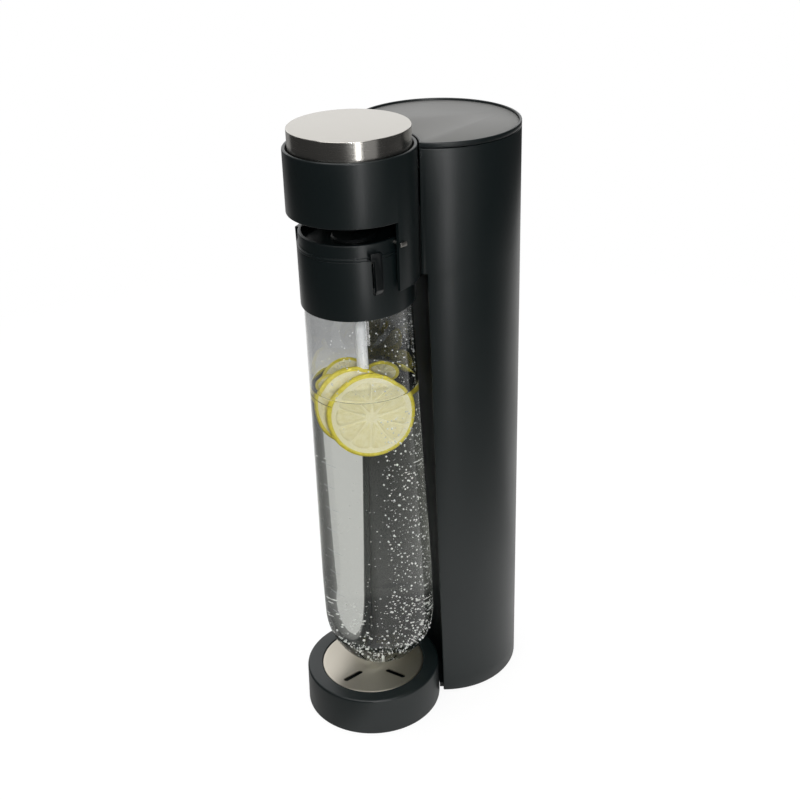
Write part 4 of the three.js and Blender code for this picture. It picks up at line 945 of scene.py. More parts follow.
def clear_material(name, hex_value, ior, wet_ior=None):
    """A clear material; its index changes below the water's level when a second one is given."""
    material, tree = start_material(name)
    body = add_node(tree, "ShaderNodeBsdfPrincipled", {
        "Base Color": colour(hex_value), "Transmission Weight": 1.0, "Roughness": 0.0,
        "IOR": wet_ior or ior,
    })
    if wet_ior:
        place = add_node(tree, "ShaderNodeTexCoord").outputs["Object"]
        height = add_node(tree, "ShaderNodeSeparateXYZ", {"Vector": place}).outputs["Z"]
        wet = add_node(tree, "ShaderNodeMath", {0: height, 1: WATER_LEVEL * MM}, operation="LESS_THAN")
        index = add_node(tree, "ShaderNodeMapRange", {"Value": wet, "To Min": ior, "To Max": wet_ior})
        tree.links.new(index.outputs["Result"], body.inputs["IOR"])
    clear_to_lamps(tree, body, "#f8fafa")
    return material


# Blown PET: clear, glossy, with dark and bright lines along its edges.
pet = clear_material("blown PET", "#fdfefe", PET_INDEX)
# The same PET where it touches water: the wall nearly disappears.
pet_inside = clear_material("inner face of the PET", "#fdfefe", PET_INDEX, PET_INDEX / WATER_INDEX)
# Tap water with a little juice in it: clear, a trace of yellow, a bright level surface.
water_clear = clear_material("water", "#fcfcf9", WATER_INDEX)
# The water's side, which the wall already bends: only the trace of colour is left.
water_side, tree = start_material("side of the water")
let_by = add_node(tree, "ShaderNodeBsdfTransparent", {"Color": colour("#fbfbf8")})
add_node(tree, "ShaderNodeOutputMaterial", {"Surface": let_by})
print("index from plastic to water:", round(PET_INDEX / WATER_INDEX, 3))

# %% [markdown]
# ## The bottle
# The bottle is one blown shape: a domed bottom with a small dimple where it was pulled, a
# belly that narrows upwards, a round shoulder inside the collar, and a thick neck with
# the flange that it hangs by. One function draws its side, for the outside and, moved in
# by the wall, for the inside, so the wall is even as in a blown bottle.

# %% The bottle
BOTTLE_BOTTOM, DOME_HEIGHT = 31.6, 46
DIMPLE_RADIUS, DIMPLE_DEPTH = 8.5, 2.0
BOTTLE_WALL, NECK_WALL = 1.1, 3.2
BELLY = [  # heights and radii up the side
    (BOTTLE_BOTTOM + DOME_HEIGHT, 40.6), (92, 40.65), (107.6, 40.6), (140, 40.0), (170, 39.35),
    (200, 38.7), (230, 38.1), (252, 37.65), (280, 37.1), (310, 36.5), (326, 36.2),
]
NECK_RADIUS, SHOULDER_RISE = 16.4, 23


def bottle_side(wall=0, neck_wall=0):
    """Points up the bottle's side, moved in by a wall, from the dimple to the neck."""
    low = BOTTLE_BOTTOM + wall
    (dome_top, radius), (shoulder, wide) = BELLY[0], BELLY[-1]
    radius, height = radius - wall, dome_top - low
    start = math.asin(DIMPLE_RADIUS / radius)
    points = [(0, low + DIMPLE_DEPTH)]
    for k in range(1, 5):
        r = DIMPLE_RADIUS * k / 4
        dimple = DIMPLE_DEPTH * (0.5 + 0.5 * math.cos(math.pi * k / 4))
        points.append((r, low + dimple + height * (1 - math.cos(math.asin(r / radius)))))
    for k in range(1, 25):
        angle = start + (math.pi / 2 - start) * k / 24
        points.append((radius * math.sin(angle), dome_top - height * math.cos(angle)))
    points += [(r - wall, z) for z, r in BELLY[1:]]
    neck = NECK_RADIUS - neck_wall
    for k in range(1, 17):
        angle = math.pi / 2 * k / 16
        r = neck + (wide - wall - neck) * math.cos(angle)
        points.append((r, shoulder + (SHOULDER_RISE - wall) * math.sin(angle)))
    return points


neck_outline = [  # up the neck, round the flange, and over the mouth
    (NECK_RADIUS, 356.0), (19.2, 356.0), (19.5, 356.3), (19.5, 358.3), (19.2, 358.6),
    (NECK_RADIUS, 358.6), (NECK_RADIUS, 368.2), (16.0, 368.6), (13.6, 368.6), (13.2, 368.2),
]
inner_side = bottle_side(BOTTLE_WALL, NECK_WALL)
bottle_outline = bottle_side() + neck_outline + inner_side[::-1]
bottle = turned("clear_bottle", bottle_outline, 256, move=HOLDER_LEAN, sharp=ROUND)
wear(bottle, pet, "bottle_body", "clear_pet", "bottle")

# %% [markdown]
# ## The bottle's inner face
# The wet material must be on the inner face only, up to the neck. A face belongs to it
# when it looks towards the bottle's axis, or upwards in the middle of the bottom, where
# the axis is too close to tell.

# %% The bottle's inner face
bottle.data.materials.append(pet_inside)
upright = HOLDER_LEAN.inverted()
NECK_START = 345
for face in bottle.data.polygons:
    centre = upright @ (face.center / MM)
    outwards = Vector((centre.x, centre.y - HEAD_Y, 0))
    facing = upright.to_3x3() @ face.normal
    is_inner = facing.dot(outwards) < 0 or outwards.length < 8 and facing.z > 0
    face.material_index = int(is_inner and centre.z < NECK_START)
print("inner faces:", sum(face.material_index for face in bottle.data.polygons))

# %% [markdown]
# ## The tube
# A pale tube hangs from the nozzle and ends in the water. It narrows a little downwards,
# as a moulded tube must, so it can leave its tool. It is an open outline turned round the
# leaning axis.

# %% The tube
tube_box = box_in_mm("carbonation_tube")
TUBE_TOP, TUBE_BOTTOM = tube_box[1].z, tube_box[0].z + 0.1
tube_outline = soften([
    (4.3, TUBE_TOP, 0.2), (3.8, TUBE_BOTTOM, 0.5), (2.6, TUBE_BOTTOM, 0.4), (3.1, TUBE_TOP, 0.2),
])
tube = turned("water_tube", tube_outline, 64, move=HOLDER_LEAN)
wear(tube, tube_plastic, "holder", "tube_grey", "carbonation_tube")
print("the tube ends at", round(TUBE_BOTTOM, 1), "mm")

# %% [markdown]
# ## The water
# The water's skin lies a tenth of a millimetre inside the bottle's wall. Its surface is
# level although the bottle leans, so each column of points up the side stops where it
# meets the level. At the wall the surface climbs a little, which draws the fine line that
# goes round the bottle at the water's edge.

# %% The water
SKIN_DEPTH = 0.1
SIDE_TAPER = 0.0196  # how much the belly narrows per millimetre near the level
CLIMB = [(0.0, 0.9), (0.25, 0.45), (0.8, 0.15), (2.0, 0.0), (12.0, 0.0)]  # in from the wall, up


def pushed_out(outline, distance):
    """An outline of (radius, height) moved outwards along its normals."""
    moved = []
    for i, (r, z) in enumerate(outline):
        before, after = outline[max(i - 1, 0)], outline[min(i + 1, len(outline) - 1)]
        along = Vector((after[0] - before[0], after[1] - before[1])).normalized()
        out = Vector((along.y, -along.x))
        moved.append((0.0 if i == 0 else r + out.x * distance, z + out.y * distance))
    return moved


def water_body(count=256):
    """The side up to the level, the climb at the wall, and one flat face on top."""
    wet = pushed_out([p for p in inner_side if p[1] < WATER_LEVEL - 8], SKIN_DEPTH)
    top_radius = wet[-1][0] - (WATER_LEVEL - wet[-1][1]) * SIDE_TAPER
    points = []
    for k in range(count):
        angle = 2 * math.pi * k / count
        side, front = math.sin(angle), -math.cos(angle)
        for r, z in [*wet, (top_radius, WATER_LEVEL)]:
            points.append(HOLDER_LEAN @ Vector((r * side, HEAD_Y + r * front, z)))
        high, low = points.pop(), points[-1]
        wall = low + (high - low) * ((WATER_LEVEL - low.z) / (high.z - low.z))
        for inset, rise in CLIMB:
            points.append(Vector((wall.x - inset * side, wall.y - inset * front, WATER_LEVEL + rise)))
    rows = len(wet) + len(CLIMB)
    faces = grid_faces(count, rows, True, False)
    faces.append(tuple(k * rows + rows - 1 for k in range(count)))
    return new_piece("water_body", points, faces, sharp=ROUND)


water = water_body()
wear(water, water_clear, "bottle_body", "clear_pet")
water.data.materials.append(water_side)
for face in water.data.polygons:
    face.material_index = int(face.center.z < (WATER_LEVEL - 0.5) * MM)
print("side faces of the water:", sum(face.material_index for face in water.data.polygons))

# %% [markdown]
# ## Materials for the lemon
# A lemon slice has three parts: a waxy yellow rind, a white pith, and wet pulp in about
# ten segments. All of them let some light through, so part of it comes from behind. The
# pulp's pattern is a noise stretched outwards from the middle, about 1.5 mm wide, because
# the juice cells all point at the middle. Each slice stores its own place for the pattern.

# %% Lemon materials
def lemon_material(name, hex_value, deep_hex, grain_mm, roughness, see_through):
    """A wet part of the fruit: mostly a plain surface, partly lit from behind."""
    material, tree = start_material(name)
    place = add_node(tree, "ShaderNodeAttribute", attribute_name="slice_place").outputs["Vector"]
    cells = add_node(tree, "ShaderNodeTexNoise", {
        "Vector": place, "Scale": 1 / (grain_mm * MM), "Detail": 3.0,
    })
    spread = add_node(tree, "ShaderNodeMapRange", {"Value": cells, "From Min": 0.35, "From Max": 0.65})
    shade = add_node(tree, "ShaderNodeMix", {
        "Factor": spread, "A": colour(deep_hex), "B": colour(hex_value),
    }, data_type="RGBA")
    relief = add_node(tree, "ShaderNodeBump", {
        "Height": cells, "Strength": 0.5, "Distance": 0.3 * MM,
    })
    skin = add_node(tree, "ShaderNodeBsdfPrincipled", {
        "Base Color": shade, "Roughness": roughness, "Normal": relief,
    })
    glow = add_node(tree, "ShaderNodeBsdfTranslucent", {"Color": shade})
    mix = add_node(tree, "ShaderNodeMixShader", {0: see_through, 1: skin, 2: glow})
    add_node(tree, "ShaderNodeOutputMaterial", {"Surface": mix})
    return material


# Waxy rind with its oil pits: the strongest yellow, slightly glossy.
lemon_rind = lemon_material("lemon rind", "#e6d64a", "#d4c434", 1.2, 0.4, 0.05)
# Spongy pith: dull and nearly white, the pale spokes between the segments.
lemon_pith = lemon_material("lemon pith", "#f5eed0", "#efe6bc", 0.8, 0.6, 0.1)
# Wet pulp: pale yellow with small highlights on its juice cells.
lemon_pulp = lemon_material("lemon pulp", "#f2eac4", "#e8deaa", 1.5, 0.3, 0.15)
LEMON = (lemon_pith, lemon_rind, lemon_pulp)
print("fruit:", [material.name for material in LEMON])

# %% [markdown]
# ## A wedge of pulp
# A lemon has about ten segments, so a slice shows ten wedges of pulp with pale pith
# between them. A wedge is one outline with rounded corners, and the same outline drawn in
# by a distance makes its bulge. Pulp could be a colour painted on a disc, but wedges that
# stand out catch the light at their edges.

# %% A wedge of pulp
SEGMENTS = 10


def wedge_outline(reach, half_angle, inset, bulge):
    """One wedge of pulp, drawn in by a distance, with its rounded corners."""
    near, far = 3.0 + inset * 1.6, reach - inset
    spread = half_angle - math.atan(inset / (far * 0.6))
    side, along, waist = far * math.sin(spread), far * math.cos(spread), 0.55
    return [(x, y, bulge) for x, y in soften([
        (0, near, 0.4), (side * waist, along * waist, 0), (side, along, 2.2), (0, far * 1.015, 0),
        (-side, along, 2.2), (-side * waist, along * waist, 0),
    ], steps=5)]


print("points round a wedge:", len(wedge_outline(20, math.pi / SEGMENTS, 0, 0)))

# %% [markdown]
# ## A lemon slice
# A slice is a turned disc with a rounded rind, and its wedges stand a little proud of the
# pith on both faces. All is built flat round the middle, where each point's angle and
# distance give the pattern its place, and only then is the slice tilted and taken into
# the bottle.

# %% A lemon slice
SLICE_HALF = 2.2  # half its thickness
RIND = 2.9  # how wide the yellow edge is
PULP_ROUND = 0.016  # metres of pattern for each radian round the slice
PULP_OUT = 0.35  # outwards the pattern is squeezed to this share, so its cells look long


def flat_slice(name, radius):
    """A slice that lies flat in the middle, with the place of its pattern stored."""
    half = SLICE_HALF
    disc = turned("slice_disc", soften([
        (0, -half, 0), (radius - 2.6, -half, 0.4), (radius - 1.4, -half - 0.1, 0.6),
        (radius, -half + 0.8, 0.9), (radius, half - 0.8, 0.9), (radius - 1.4, half + 0.1, 0.6),
        (radius - 2.6, half, 0.4), (0, half, 0),
    ]), 96, (0, 0))
    for face in disc.data.polygons:
        face.material_index = int(Vector(face.center[:2]).length > (radius - RIND) * MM)
    bulge = [(1.6, -half - 0.5), (0.5, -half - 0.35), (0.0, -half + 0.2)]
    bulge += [(0.0, half - 0.2), (0.5, half + 0.35), (1.6, half + 0.5)]
    sections = [wedge_outline(radius * 0.8, math.pi / SEGMENTS - 0.006, i, z) for i, z in bulge]
    parts = [disc]
    for k in range(SEGMENTS):
        turn = Matrix.Rotation(2 * math.pi * k / SEGMENTS, 4, "Z")
        wedge = lofted("wedge", sections, turn, SOFT)
        for face in wedge.data.polygons:
            face.material_index = LEMON.index(lemon_pulp)
        parts.append(wedge)
    fruit = joined(name, parts)
    stored = fruit.data.attributes.new("slice_place", "FLOAT_VECTOR", "POINT")
    for vertex in fruit.data.vertices:
        x, y, z = vertex.co
        round_slice, outwards = math.atan2(y, x) * PULP_ROUND, math.hypot(x, y) * PULP_OUT
        stored.data[vertex.index].vector = (round_slice, outwards, z)
    return fruit


print("parts of a slice: a disc and", SEGMENTS, "wedges")

# %% [markdown]
# ## Five slices in the bottle
# Slices float near the surface and lean against the wall. Two large ones face the front
# right, a smaller one lies behind them at the left, and two small ones stand at the back
# of the surface. Each is placed by its azimuth and its distance from the leaning axis.

# %% Five slices in the bottle
def in_bottle(azimuth, offset, z):
    """A place inside the bottle, by azimuth and distance from its leaning axis."""
    return Vector(on_circle(offset, math.radians(azimuth), z, (0, lean_y(z))))


def lemon_slice(name, radius, centre, azimuth, tilt, spin):
    """A slice whose face looks to an azimuth and is tilted up; angles in degrees."""
    fruit = flat_slice(name, radius)
    a, up = math.radians(azimuth), math.radians(tilt)
    facing = Vector((math.sin(a) * math.cos(up), -math.cos(a) * math.cos(up), math.sin(up)))
    aim = facing.to_track_quat("Z", "Y").to_matrix().to_4x4()
    aim = aim @ Matrix.Rotation(math.radians(spin), 4, "Z")
    fruit.data.transform(Matrix.Translation(centre * MM) @ aim)
    for material in LEMON:
        fruit.data.materials.append(material)
    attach(fruit, "bottle_body")
    print(name, "radius:", radius, "mm, corners:", len(fruit.data.vertices))


lemon_slice("lemon_front", 28.3, in_bottle(60, 15, 249.5), 60, 12, 12)
lemon_slice("lemon_left", 26, in_bottle(8, 12.2, 255), 60, 12, 4)
lemon_slice("lemon_far_left", 18, in_bottle(-97, 20.8, 259), 49, 45, 18)
lemon_slice("lemon_back", 12.5, in_bottle(-159.4, 27.2, 257), 49, 20, 9)
lemon_slice("lemon_end", 10, in_bottle(-45.9, 24.1, 262), 49, 30, 5)

# %% [markdown]
# ## Materials for bubbles and drops
# A bubble is air in water, so its surface bends light the other way: its index is 1
# divided by that of real water. A drop on the dry wall is water in air. Both are under a
# millimetre wide, and their glints are too fine to draw, so a share of plain white stands
# for them and makes them show.

# %% Materials for bubbles and drops
REAL_WATER_INDEX = 1.333


def bead_material(name, index, sparkle):
    """A small clear bead; the sparkle is the share of white that stands for its glints."""
    material, tree = start_material(name)
    clear = add_node(tree, "ShaderNodeBsdfGlass", {"Roughness": 0.0, "IOR": index})
    glints = add_node(tree, "ShaderNodeBsdfDiffuse", {"Color": colour("#ffffff")})
    bead = add_node(tree, "ShaderNodeMixShader", {0: sparkle, 1: clear, 2: glints})
    clear_to_lamps(tree, bead, "#ffffff")
    return material


# Gas bubbles under water: white pin-points with a dark edge.
bubble_air = bead_material("air in water", round(1 / REAL_WATER_INDEX, 2), 0.6)
# Splashed drops on the dry wall: smaller and fainter.
drop_water = bead_material("drops of water", REAL_WATER_INDEX, 0.5)
print("index of a bubble and a drop:", round(1 / REAL_WATER_INDEX, 2), REAL_WATER_INDEX)

# %% [markdown]
# ## Scattering the beads
# Thousands of beads can't be placed by hand, and a node group does it with a fixed seed,
# so they are the same in each run. It takes points on a wall, a small ball for each, and
# a size that is mostly small, because the chance is squared. The balls are made real and
# get their material at the end, since the export drops what is only repeated.

# %% Scattering group
def scattering_group():
    """Small beads set on a surface: how many per square metre, their sizes and a seed."""
    group = bpy.data.node_groups.new("scattered_beads", "GeometryNodeTree")
    for name, kind in (
        ("Wall", "Geometry"), ("Density", "Float"), ("Smallest", "Float"), ("Largest", "Float"),
        ("Seed", "Int"), ("Bead material", "Material"),
    ):
        group.interface.new_socket(name, in_out="INPUT", socket_type="NodeSocket" + kind)
    group.interface.new_socket("Beads", in_out="OUTPUT", socket_type="NodeSocketGeometry")
    given = add_node(group, "NodeGroupInput").outputs
    spots = add_node(group, "GeometryNodeDistributePointsOnFaces", {
        "Mesh": given["Wall"], "Density": given["Density"], "Seed": given["Seed"],
    })
    chance = add_node(group, "FunctionNodeRandomValue", {2: 0.0, 3: 1.0, "Seed": given["Seed"]})
    skewed = add_node(group, "ShaderNodeMath", {0: chance.outputs[1], 1: 2.0}, operation="POWER")
    size = add_node(group, "ShaderNodeMapRange", {
        "Value": skewed, "To Min": given["Smallest"], "To Max": given["Largest"],
    })
    bead = add_node(group, "GeometryNodeMeshIcoSphere", {"Radius": 1.0, "Subdivisions": 2})
    placed = add_node(group, "GeometryNodeInstanceOnPoints", {
        "Points": spots.outputs["Points"], "Instance": bead.outputs["Mesh"], "Scale": size,
    })
    real = add_node(group, "GeometryNodeRealizeInstances", {"Geometry": placed})
    smooth = add_node(group, "GeometryNodeSetShadeSmooth", {"Geometry": real})
    dressed = add_node(group, "GeometryNodeSetMaterial", {
        "Geometry": smooth, "Material": given["Bead material"],
    })
    add_node(group, "NodeGroupOutput", {"Beads": dressed})
    return group


beads = scattering_group()
bead_inputs = {s.name: s.identifier for s in beads.interface.items_tree if s.in_out == "INPUT"}
print("inputs of the scattering group:", list(bead_inputs))

# %% [markdown]
# ## Walls for the beads to sit on
# The beads need a surface to be scattered on: a patch of the bottle's inner wall between
# two azimuths and two heights, or the inner face of its bottom. These helper walls are
# removed once the beads are made.

# %% Helper walls
def side_radius(z):
    """The bottle's inner radius at a height."""
    for (low, wide), (high, narrow) in zip(BELLY, BELLY[1:]):
        if low <= z <= high:
            return wide + (narrow - wide) * (z - low) / (high - low) - BOTTLE_WALL
    return (BELLY[0][1] if z < BELLY[0][0] else BELLY[-1][1]) - BOTTLE_WALL


def wall_patch(start, end, low, high, inset, across=24, up=24):
    """Part of the inner wall between two azimuths and two heights, drawn in a little."""
    points = []
    for i in range(up + 1):
        z = low + (high - low) * i / up
        for k in range(across + 1):
            a = math.radians(start + (end - start) * k / across)
            points.append(on_circle(side_radius(z) - inset, a, z))
    return new_piece("patch", points, grid_faces(up + 1, across + 1, False, False), HOLDER_LEAN)


def bottom_patch(low_radius=3, high=70):
    """The inner face of the bottle's bottom."""
    outline = [(r - 0.8, z + 0.9) for r, z in inner_side if low_radius < r and z < high]
    foot = outline[0][1]
    return turned("bottom_patch", [(0, foot)] + outline + [(0, foot + 0.01)], 48, move=HOLDER_LEAN)


print("inner radius at the water's level:", round(side_radius(WATER_LEVEL), 2))

# %% [markdown]
# ## Bubbles and drops
# Most bubbles cling to the wall at the right and to the bottom, and a few to the left and
# the back. Drops cling to the dry wall above the water. Each call gives how many there
# are per square metre, the smallest and the largest radius, and the seed.

# %% Bubbles and drops
BUBBLE_TOP, BUBBLE_INSET = 255, 0.8


def scatter(name, wall, density, smallest, largest, seed, material):
    """Beads on a helper wall as a plain mesh; the helper wall is removed."""
    setup = wall.modifiers.new("beads", "NODES")
    setup.node_group = beads
    for socket, value in (
        ("Density", float(density)), ("Smallest", smallest * MM), ("Largest", largest * MM),
        ("Seed", seed), ("Bead material", material),
    ):
        setup[bead_inputs[socket]] = value
    graph = bpy.context.evaluated_depsgraph_get()
    mesh = bpy.data.meshes.new_from_object(wall.evaluated_get(graph))
    bpy.data.objects.remove(wall)
    mesh.name = name
    wear(link_piece(name, mesh), material, "bottle_body", "clear_pet")


right_wall = wall_patch(62, 150, 60, BUBBLE_TOP, BUBBLE_INSET)
scatter("bubbles_right", right_wall, 82000, 0.2, 0.85, 3, bubble_air)
left_wall = wall_patch(-120, 40, 60, BUBBLE_TOP, BUBBLE_INSET)
scatter("bubbles_left", left_wall, 5000, 0.2, 0.5, 5, bubble_air)
back_wall = wall_patch(150, 240, 50, BUBBLE_TOP, BUBBLE_INSET)
scatter("bubbles_back", back_wall, 16000, 0.2, 0.6, 8, bubble_air)
scatter("bubbles_bottom", bottom_patch(), 52000, 0.2, 0.75, 11, bubble_air)
dry_wall = wall_patch(10, 255, 272, 322, 0.35)
scatter("drops_above", dry_wall, 30000, 0.25, 0.6, 14, drop_water)

# %% [markdown]
# ## The marks on the bottle
# A thin line printed on the outside of the bottle shows how far to fill it, and a row of
# short pale dashes goes down below it. Each is a strip of ink, a few hundredths of a
# millimetre thick. A picture on the bottle would do too, but a strip keeps its edge at
# any distance and moves with the bottle.

# %% The marks
INK_LOW, INK_HIGH = 0.01, 0.05  # how far the ink's two faces stand off the plastic


def ink_strip(name, start, end, z, height, count=24):
    """A thin curved strip on the bottle's outside."""
    sections = []
    for k in range(count + 1):
        a = math.radians(start + (end - start) * k / count)
        sections.append([
            on_circle(side_radius(z + rise) + BOTTLE_WALL + out, a, z + rise)
            for rise, out in ((0, INK_LOW), (height, INK_LOW), (height, INK_HIGH), (0, INK_HIGH))
        ])
    return lofted(name, sections, HOLDER_LEAN)


def printing_ink(name, hex_value):
    """Ink has no pattern of its own, only a colour and a dull face."""
    ink, tree = start_material(name)
    skin = add_node(tree, "ShaderNodeBsdfPrincipled", {
        "Base Color": colour(hex_value), "Roughness": 0.6,
    })
    add_node(tree, "ShaderNodeOutputMaterial", {"Surface": skin})
    return ink


# Screen-printing ink in two greys: the dark one reads on fruit, the pale one on water.
dark_ink = printing_ink("dark grey ink", "#2e2e2a")
pale_ink = printing_ink("pale grey ink", "#aab0b1")
fill_line = ink_strip("fill_line", -32, 12, 264.5, 0.5)
wear(fill_line, dark_ink, "bottle_body", "clear_pet")
dash_strips = [ink_strip("dash", -8, 8 + 5 * (k % 2), 92 + 18 * k, 0.3) for k in range(8)]
wear(joined("pale_dashes", dash_strips), pale_ink, "bottle_body", "clear_pet")

# %% [markdown]
# ## The other solids
# What is left keeps its solid from the model and gets its material: the parts inside the
# column and the head, the nozzle, the foot plate and the feet. Their shapes are plain
# enough as they are.

# %% Materials for the kept solids
kept = (
    (matt_abs, "foot_plate top_frame cylinder_clamp head_floor cap_plunger cap_guide catch_ring nozzle"),
    (cylinder_metal, "gas_cylinder"),
    (brass, "cylinder_valve valve_block relief_valve"),
    (rubber, "cylinder_pad valve_seal mouth_seal"),
    (rubber, "rubber_foot_1 rubber_foot_2 rubber_foot_3 rubber_foot_4"),
    (plain_steel, "valve_pin lever lever_bracket lever_pin cap_spring"),
    (plain_steel, "foot_screw_1 foot_screw_2 foot_screw_3 foot_screw_4"),
    (tube_plastic, "gas_pipe"),
)
for material, nodes in kept:
    for node in nodes.split():
        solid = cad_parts[node]
        if not solid.material_slots:
            solid.data.materials.append(material)
        for place in solid.material_slots:
            place.material = material
print("kept solids:", sum(len(nodes.split()) for _, nodes in kept))

# %% [markdown]
# ## The floor's colour
# The picture is a studio one on white. The floor is a wide white sheet. What mirrors it
# sees its colour darken with distance, a painted fall-off where the lamps don't reach,
# and darker still to the left of the machine, a painted shadow, so the black plastic keeps
# its depth. Behind lies a painted pool of light, which shows in the back. The camera itself
# sees plain white paper.

# %% The floor's colour
AZIMUTH = 48.956  # where the camera stands, in degrees round from the front
azimuth = math.radians(AZIMUTH)
TO_CAMERA = (math.sin(azimuth), -math.cos(azimuth), 0)
TO_RIGHT = (math.cos(azimuth), math.sin(azimuth), 0)
# Where the painted pool of light lies on the floor behind the machine, and how wide it is.
POOL_AWAY, POOL_TURN, POOL_RADIUS = 0.75, math.radians(30), 0.35  # metres
POOL = (-POOL_AWAY * math.sin(POOL_TURN), POOL_AWAY * math.cos(POOL_TURN), 0)

white_paper, tree = start_material("white paper")
place = add_node(tree, "ShaderNodeTexCoord").outputs["Object"]
path = add_node(tree, "ShaderNodeLightPath").outputs
near = add_node(tree, "ShaderNodeVectorMath", {0: place}, operation="LENGTH")
aside = add_node(tree, "ShaderNodeVectorMath", {0: place, 1: TO_RIGHT}, operation="DOT_PRODUCT")
# Painted shadow: the paper's colour is darker on the camera's left of the machine, where its shadow
# falls.
painted_left_shadow = add_node(tree, "ShaderNodeMapRange", {
    "Value": aside, "From Min": -0.07, "From Max": -0.02, "To Min": 0.26, "To Max": 0.0,
})
shaded = add_node(tree, "ShaderNodeMath", {0: near, 1: painted_left_shadow}, operation="ADD")
# Painted pool of light: the paper's colour is lightest near a spot behind the machine.
far = add_node(tree, "ShaderNodeVectorMath", {0: place, 1: POOL}, operation="DISTANCE")
painted_light_pool = add_node(tree, "ShaderNodeMath", {0: far, 1: POOL_RADIUS}, operation="SUBTRACT")
away = add_node(tree, "ShaderNodeMath", {0: shaded, 1: painted_light_pool}, operation="MINIMUM")
# Painted fall-off of light: the paper's grey darkens with distance from the machine, standing in for
# lamps that don't reach.
painted_light_ramp = add_node(tree, "ShaderNodeValToRGB", {"Fac": away})
stops = [(0.0, "#d2d2d1"), (0.22, "#cdcdcc"), (0.34, "#979796"), (0.52, "#6a6a69"), (0.85, "#363636")]
ramp = painted_light_ramp.color_ramp
while len(ramp.elements) < len(stops):
    ramp.elements.new(0.5)
for element, (position, grey) in zip(ramp.elements, stops):
    element.position, element.color = position, colour(grey)
tint = add_node(tree, "ShaderNodeMix", {
    "Factor": path["Is Camera Ray"], "A": painted_light_ramp, "B": colour("#f4f4f3"),
}, data_type="RGBA")
paper = add_node(tree, "ShaderNodeBsdfDiffuse", {"Color": tint})
print("greys of the paper, near to far:", [grey for _, grey in stops])

# %% [markdown]
# ## The floor's glow
# A white background comes from the floor's own glow, which the camera sees at full
# strength, so no lamp has to be turned up for it. Near the machine a share of it is left
# out, which keeps a faint shadow. Rays that pass through the bottle see the glow too,
# weaker, and only on the floor behind the machine: this is the light band in the water.

# %% The floor's glow
KEEP_SHADOW = 0.12
THROUGH_CLEAR, IN_FRONT = 0.52, 0.06  # the glow seen through the bottle, behind and in front

glow_share = add_node(tree, "ShaderNodeMapRange", {
    "Value": near, "From Min": 0.3, "From Max": 0.9, "To Min": 1 - KEEP_SHADOW, "To Max": 1.0,
})
forward = add_node(tree, "ShaderNodeVectorMath", {0: place, 1: TO_CAMERA}, operation="DOT_PRODUCT")
behind = add_node(tree, "ShaderNodeMapRange", {
    "Value": forward, "From Min": 0.15, "From Max": 0.5, "To Min": THROUGH_CLEAR, "To Max": IN_FRONT,
}, interpolation_type="SMOOTHSTEP")
far_back = add_node(tree, "ShaderNodeMapRange", {
    "Value": forward, "From Min": -0.65, "From Max": -0.4, "To Min": 0.62, "To Max": 1.0,
})
band = add_node(tree, "ShaderNodeMath", {0: behind, 1: far_back}, operation="MULTIPLY")
level = add_node(tree, "ShaderNodeMath", {0: path["Is Camera Ray"], 1: band}, operation="MAXIMUM")
glow = add_node(tree, "ShaderNodeEmission", {"Color": colour("#ffffff"), "Strength": level})
print("share of the glow left out near the machine:", KEEP_SHADOW)

# %% [markdown]
# ## The floor
# A ray that first met a dull surface must not see the glow, or the floor would light the
# machine from below. So the glow is for camera rays, and for rays through clear walls
# that haven't been scattered. All other rays see the paper.

# %% The floor
def not_scattered(tree, path, kind):
    """1 for rays of a kind that haven't met a dull surface, else 0."""
    dull = add_node(tree, "ShaderNodeMath", {0: path["Diffuse Depth"], 1: 0.5}, operation="GREATER_THAN")
    return add_node(tree, "ShaderNodeMath", {0: kind, 1: dull}, operation="SUBTRACT", use_clamp=True)


straight = not_scattered(tree, path, path["Is Transmission Ray"])
seen = add_node(tree, "ShaderNodeMath", {0: path["Is Camera Ray"], 1: straight}, operation="MAXIMUM")
share = add_node(tree, "ShaderNodeMath", {0: seen, 1: glow_share}, operation="MULTIPLY")
mix = add_node(tree, "ShaderNodeMixShader", {0: share, 1: paper, 2: glow})
add_node(tree, "ShaderNodeOutputMaterial", {"Surface": mix})

FLOOR_HALF = 4000
corners = [(x * FLOOR_HALF, y * FLOOR_HALF, 0) for x, y in ((-1, -1), (1, -1), (1, 1), (-1, 1))]
floor = new_piece("floor", corners, [(0, 1, 2, 3)])
floor.data.materials.append(white_paper)
print("floor:", floor.name, "of", 2 * FLOOR_HALF * MM, "m")

# %% [markdown]
# ## The world
# The world is white to the camera. It lights the machine evenly at 0.9. What is glossy or
# clear sees it nearly dark, as a studio with black walls, so only the lamps and the floor
# draw highlights in the black plastic.

# %% The world
ROOM, DARK_ROOM = 0.9, 0.05

world = bpy.data.worlds.new("studio")
bpy.context.scene.world = world
world.use_nodes = True
tree = world.node_tree
tree.nodes.clear()
path = add_node(tree, "ShaderNodeLightPath").outputs
mirrored = add_node(tree, "ShaderNodeMath", {
    0: path["Is Glossy Ray"], 1: path["Is Transmission Ray"],
}, operation="MAXIMUM")
straight = not_scattered(tree, path, mirrored)
dimmed = add_node(tree, "ShaderNodeMath", {0: straight, 1: DARK_ROOM - ROOM}, operation="MULTIPLY")
room = add_node(tree, "ShaderNodeMath", {0: dimmed, 1: ROOM}, operation="ADD")
strength = add_node(tree, "ShaderNodeMath", {0: path["Is Camera Ray"], 1: room}, operation="MAXIMUM")
sky = add_node(tree, "ShaderNodeBackground", {"Color": colour("#ffffff"), "Strength": strength})
add_node(tree, "ShaderNodeOutputWorld", {"Surface": sky})
print("world:", world.name, "at", ROOM, "and in mirrors", DARK_ROOM)

# %% [markdown]
# ## The lamps
# A tall lamp stands near the camera and draws the soft stripe down the middle of each
# round piece. A broad one hangs above, and a bright wall behind shows in the cap's top
# and on the tray's rim. A small lamp gives the water and the fruit their glints, and two
# weak windows lift the left and right edges out of black. The camera and the rays
# through clear walls don't see the lamps themselves.

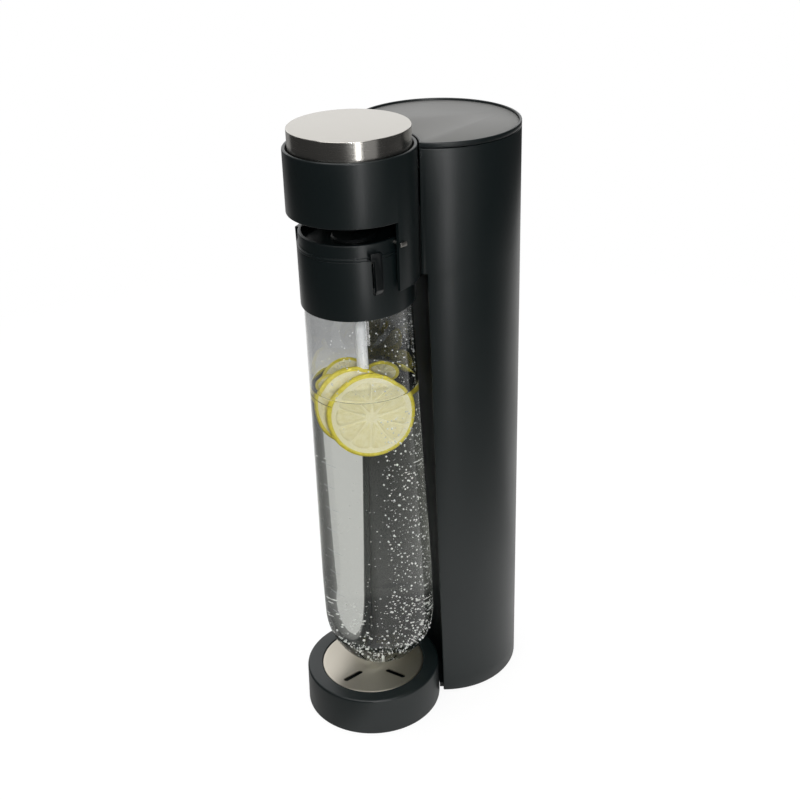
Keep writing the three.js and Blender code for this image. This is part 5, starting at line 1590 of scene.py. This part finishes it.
# %% The lamps
def around(azimuth, elevation, distance, height=200):
    """A place round the machine, by azimuth from its front and by elevation."""
    a, e = math.radians(azimuth), math.radians(elevation)
    return Vector((
        distance * math.sin(a) * math.cos(e),
        -distance * math.cos(a) * math.cos(e),
        height + distance * math.sin(e),
    ))


def lamp(name, place, target_height, width, height, power):
    """A soft rectangular lamp that points at the machine's axis; places are in millimetres."""
    light = bpy.data.lights.new(name, "AREA")
    light.shape = "RECTANGLE"
    light.size, light.size_y = width * MM, height * MM
    light.energy = power
    stand = link_piece(name, light)
    stand.location = place * MM
    aim = Vector((0, 0, target_height)) - place
    stand.rotation_euler = aim.to_track_quat("-Z", "Y").to_euler()
    stand.visible_camera = False
    stand.visible_transmission = False
    print(name, "watts:", power)


lamp("tall lamp by the camera", around(61, 0, 700, 420), 420, 90, 800, 1.05)
lamp("broad lamp from above", around(20, 75, 1500), 200, 1400, 1400, 12)
lamp("bright wall behind", around(229, 32, 1600), 300, 2400, 1500, 13)
lamp("small lamp above the camera", around(51, 39, 1010, 60), 200, 50, 50, 1.2)
lamp("weak window at the right", around(84, 0, 900, 420), 420, 380, 900, 0.3)
lamp("weak window at the left", around(-95, 0, 900, 420), 420, 450, 900, 0.3)

# %% [markdown]
# ## The camera
# The camera stands at the front right and looks down at the machine. Its place and its
# angles were worked out from the round edges, whose ellipses tell how steeply each one is
# seen. Its three directions are set up one after the other, so the small roll is exact.

# %% The camera
PITCH, YAW, ROLL = 27.204, 1.940, -1.787
DISTANCE, HEIGHT, LENS = 789.60, 658.63, 57.896
camera_place = Vector((DISTANCE * math.sin(azimuth), HEAD_Y - DISTANCE * math.cos(azimuth), HEIGHT))
pitch, roll = math.radians(PITCH), math.radians(ROLL)
heading = Matrix.Rotation(-math.radians(YAW), 3, "Z") @ -Vector(TO_CAMERA)
view = heading * math.cos(pitch) - Vector((0, 0, math.sin(pitch)))
right = view.cross(Vector((0, 0, 1))).normalized()
upward = right.cross(view)
rolled_right = right * math.cos(roll) + upward * math.sin(roll)
rolled_up = upward * math.cos(roll) - right * math.sin(roll)

lens = bpy.data.cameras.new("camera")
lens.lens = LENS
lens.sensor_width = 36
camera = link_piece("camera", lens)
turn = Matrix((rolled_right, rolled_up, -view)).transposed()
camera.matrix_world = Matrix.Translation(camera_place * MM) @ turn.to_4x4()
bpy.context.scene.camera = camera
bpy.context.scene.view_settings.view_transform = "Standard"
print("camera at", [round(v) for v in camera_place], "mm")
